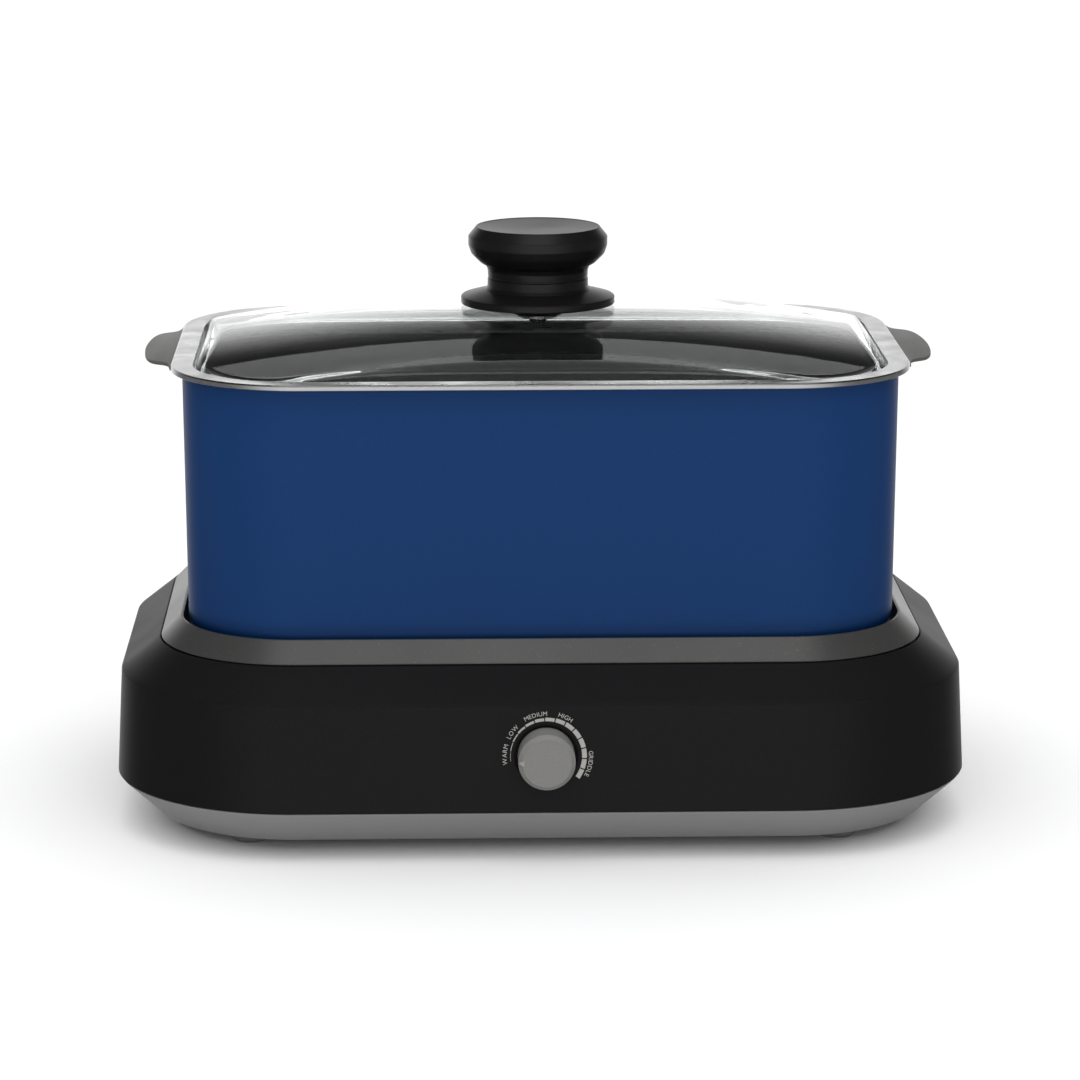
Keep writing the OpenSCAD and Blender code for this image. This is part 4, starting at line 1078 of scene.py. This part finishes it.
def printed_words(words, height, on_wall):
    """Words set letter by letter round the scale, as one thin mesh on the wall."""
    vertices, faces = [], []
    for word, middle, radius in words:
        shapes = []
        for letter in word:
            text = bpy.data.curves.new("letter", "FONT")
            text.body = letter
            text.size = 1.0
            text.resolution_u = 3
            text.fill_mode = "FRONT"
            text.extrude = 0.0
            text.offset = 0.0
            holder = bpy.data.objects.new("letter", text)
            bpy.context.scene.collection.objects.link(holder)
            graph = bpy.context.evaluated_depsgraph_get()
            mesh = bpy.data.meshes.new_from_object(holder.evaluated_get(graph))
            bpy.data.objects.remove(holder)
            work = bmesh.new()
            work.from_mesh(mesh)
            bmesh.ops.remove_doubles(work, verts=work.verts, dist=0.0005)
            grown = bmesh.ops.extrude_face_region(work, geom=work.faces[:])
            moved = [v for v in grown["geom"] if isinstance(v, bmesh.types.BMVert)]
            bmesh.ops.translate(work, verts=moved, vec=(0, 0, 1))
            bmesh.ops.recalc_face_normals(work, faces=work.faces)
            xs = [v.co.x for v in work.verts]
            ys = [v.co.y for v in work.verts]
            work.verts.index_update()
            shapes.append(([tuple(v.co) for v in work.verts],
                           [tuple(v.index for v in f.verts) for f in work.faces],
                           min(xs), max(xs), max(ys)))
            work.free()
            bpy.data.meshes.remove(mesh)
        capital, gap = 0.70, 0.15
        size = height / capital
        total = sum(s[3] - s[2] for s in shapes) + gap * (len(shapes) - 1)
        at = -total / 2
        for points, polygons, left, right, _ in shapes:
            wide = right - left
            angle = math.radians(middle) - (at + wide / 2) * size / radius
            start = len(vertices)
            for x, y, zed in points:
                local_x = (x - left - wide / 2) * size
                local_y = radius - height / 2 + y * size
                turned = angle - math.pi / 2
                px = local_x * math.cos(turned) - local_y * math.sin(turned)
                py = local_x * math.sin(turned) + local_y * math.cos(turned)
                vertices.append(on_wall((px, py, -0.02 + 0.08 * zed)))
            faces += [tuple(start + i for i in polygon) for polygon in polygons]
            at += wide + gap
    piece = mesh_object("dial_words", vertices, faces, None, [FINISH["ink"]])
    flip_out(piece)
    return piece


class COOKER_OT_outlet(bpy.types.Operator, CookerPiece):
    """Cord grommet at the rear"""
    bl_idname = "cooker.outlet"
    bl_label = "Cord outlet"

    def execute(self, context):
        low, high = GROMMET_BOX
        x, z = (low.x + high.x) / 2 / MM, (low.z + high.z) / 2 / MM
        back, front = high.y / MM, low.y / MM
        piece = lathe("outlet_grommet", rounded([
            (3.6, 0, 0.3), (3.6, back - front, 0.4), (5.5, back - front, 0.2),
            (5.5, 2.5, 0.1), (8.5, 2.5, 0.3), (8.5, 0.0, 0.9)], True, 4),
            (x, back, z), "Y", 64, [FINISH["black_rubber"]])
        flip_out(piece)
        settle(piece, "base", "rubber_black", "cord_grommet")
        return {"FINISHED"}


class COOKER_OT_inner_works(bpy.types.Operator, CookerPiece):
    """Finishes for the parts inside the base and under the lid knob"""
    bl_idname = "cooker.inner_works"
    bl_label = "Inner works"

    def execute(self, context):
        finishes = {
            "plate_gasket": "silicone", "plate_nuts": "zinc", "heating_element": "tube",
            "element_clamps": "zinc", "element_insulators": "ceramic", "heat_shield": "sheet",
            "thermostat_body": "ceramic", "thermostat_bracket": "sheet",
            "thermostat_screws": "zinc", "sensor_bulb": "copper", "thermal_fuse": "brass",
            "fuse_clip": "sheet", "terminal_block": "pale", "lead_wires": "sleeve",
            "thermostat_shaft": "steel", "knob_spring_clip": "steel", "lid_insert": "brass",
            "lid_gasket": "black_rubber", "lid_washer": "steel", "lid_screw": "steel"}
        for name, finish in finishes.items():
            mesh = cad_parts[name].data
            mesh.materials.clear()
            mesh.materials.append(FINISH[finish])
        return {"FINISHED"}


def studio_world():
    """A bright low horizon, stronger behind, under a dark ceiling."""
    world = bpy.data.worlds.new("Studio")
    world.use_nodes = True
    tree = world.node_tree
    place = tree.nodes.new("ShaderNodeTexCoord")
    split = tree.nodes.new("ShaderNodeSeparateXYZ")
    tree.links.new(place.outputs["Generated"], split.inputs[0])
    upward = ranged(tree, split.outputs["Z"], 0.20, 0.38, 1.0, 0.06)
    depth = ranged(tree, split.outputs["Y"], 0.72, 0.95, 0.12, 1.25)
    front = ranged(tree, split.outputs["Y"], -0.95, -0.55, 0.55, 0.0)
    depth = math_node(tree, "ADD", depth, front)
    tree.links.new(math_node(tree, "MULTIPLY", upward, depth),
                   tree.nodes["Background"].inputs["Strength"])
    tree.nodes["Background"].inputs["Color"].default_value = (1, 1, 1, 1)
    return world


class COOKER_OT_stage(bpy.types.Operator, CookerPiece):
    """Pale floor, soft studio light and the camera"""
    bl_idname = "cooker.stage"
    bl_label = "Stage"

    def execute(self, context):
        floor = mesh_object("floor", [(-9000, -6000, 0), (9000, -6000, 0), (9000, 14000, 0),
                                      (-9000, 14000, 0)], [(0, 1, 2, 3)])
        paper = bpy.data.materials.new("White paper")
        paper.use_nodes = True
        shader = paper.node_tree.nodes["Principled BSDF"]
        shader.inputs["Base Color"].default_value = (0.9, 0.9, 0.9, 1)
        shader.inputs["Roughness"].default_value = 0.8
        shader.inputs["Specular IOR Level"].default_value = 0.1
        floor.data.materials.append(paper)
        floor.visible_glossy = False
        context.scene.world = studio_world()
        lamps = []
        sky = bpy.data.lights.new("overhead", "SUN")
        sky.energy, sky.angle = 3.55, math.radians(125)
        lamps.append((sky, (0, 0.2, 3), False))
        for name, at, wide, tall, power, glossy in (
                ("strip_panel", (0, -0.75, 1.9), 1.5, 0.6, 3.2, True),
                ("front_panel", (0, -2.6, 0.9), 2.4, 1.0, 16.0, False)):
            panel = bpy.data.lights.new(name, "AREA")
            panel.shape = "RECTANGLE"
            panel.size, panel.size_y, panel.energy = wide, tall, power
            lamps.append((panel, at, glossy))
        for lamp, at, glossy in lamps:
            holder = bpy.data.objects.new(lamp.name, lamp)
            holder.location = at
            aim = Vector((0, 0, 0.1)) - Vector(at)
            holder.rotation_euler = aim.to_track_quat("-Z", "Y").to_euler()
            holder.visible_glossy = glossy
            holder.visible_camera = False
            context.scene.collection.objects.link(holder)
        lens = bpy.data.cameras.new("view")
        lens.sensor_width = 36.0
        lens.lens = 136.389
        lens.clip_start, lens.clip_end = 0.05, 60.0
        camera = bpy.data.objects.new("view", lens)
        turn, rise, away = math.radians(-1.607), math.radians(12.466), 1.829
        back = Vector((math.sin(turn) * math.cos(rise), -math.cos(turn) * math.cos(rise),
                       math.sin(rise)))
        target = Vector((0.000968, MID_Y, 0.11025))
        camera.location = target + back * away
        camera.rotation_mode = "QUATERNION"
        camera.rotation_quaternion = (-back).to_track_quat("-Z", "Y")
        context.scene.collection.objects.link(camera)
        context.scene.camera = camera
        context.scene.view_settings.view_transform = "Standard"
        return {"FINISHED"}


class COOKER_PT_sidebar(bpy.types.Panel):
    """Lists the cooker's pieces and sizes"""
    bl_idname = "COOKER_PT_sidebar"
    bl_label = "Slow cooker"
    bl_space_type = "VIEW_3D"
    bl_region_type = "UI"
    bl_category = "Cooker"

    def draw(self, context):
        column = self.layout.column(align=True)
        for maker in OPERATORS:
            column.operator(maker.bl_idname)
        for group in ("cooker_base", "cooker_pot", "cooker_lid", "cooker_dial", "cooker_colours"):
            box = self.layout.box()
            found = getattr(context.scene, group)
            for key in found.bl_rna.properties.keys():
                if key not in ("rna_type", "name"):
                    box.prop(found, key)


GROUP_TYPES = {"cooker_base": CookerBaseSizes, "cooker_pot": CookerPotSizes,
               "cooker_lid": CookerLidSizes, "cooker_dial": CookerDialSizes,
               "cooker_colours": CookerColours}
OPERATORS = (COOKER_OT_finishes, COOKER_OT_stage, COOKER_OT_housing, COOKER_OT_cover,
             COOKER_OT_griddle, COOKER_OT_pot, COOKER_OT_handles, COOKER_OT_lid, COOKER_OT_grip,
             COOKER_OT_dial, COOKER_OT_outlet, COOKER_OT_inner_works)


def register():
    for name, kind in GROUP_TYPES.items():
        bpy.utils.register_class(kind)
        setattr(bpy.types.Scene, name, bpy.props.PointerProperty(type=kind))
    for kind in OPERATORS + (COOKER_PT_sidebar,):
        bpy.utils.register_class(kind)


def unregister():
    for kind in reversed(OPERATORS + (COOKER_PT_sidebar,)):
        bpy.utils.unregister_class(kind)
    for name, kind in GROUP_TYPES.items():
        delattr(bpy.types.Scene, name)
        bpy.utils.unregister_class(kind)


def main():
    register()
    for maker in OPERATORS:
        section, name = maker.bl_idname.split(".")
        if getattr(getattr(bpy.ops, section), name)() != {"FINISHED"}:
            raise RuntimeError("operator " + maker.bl_idname + " did not finish")


if __name__ == "__main__":
    main()
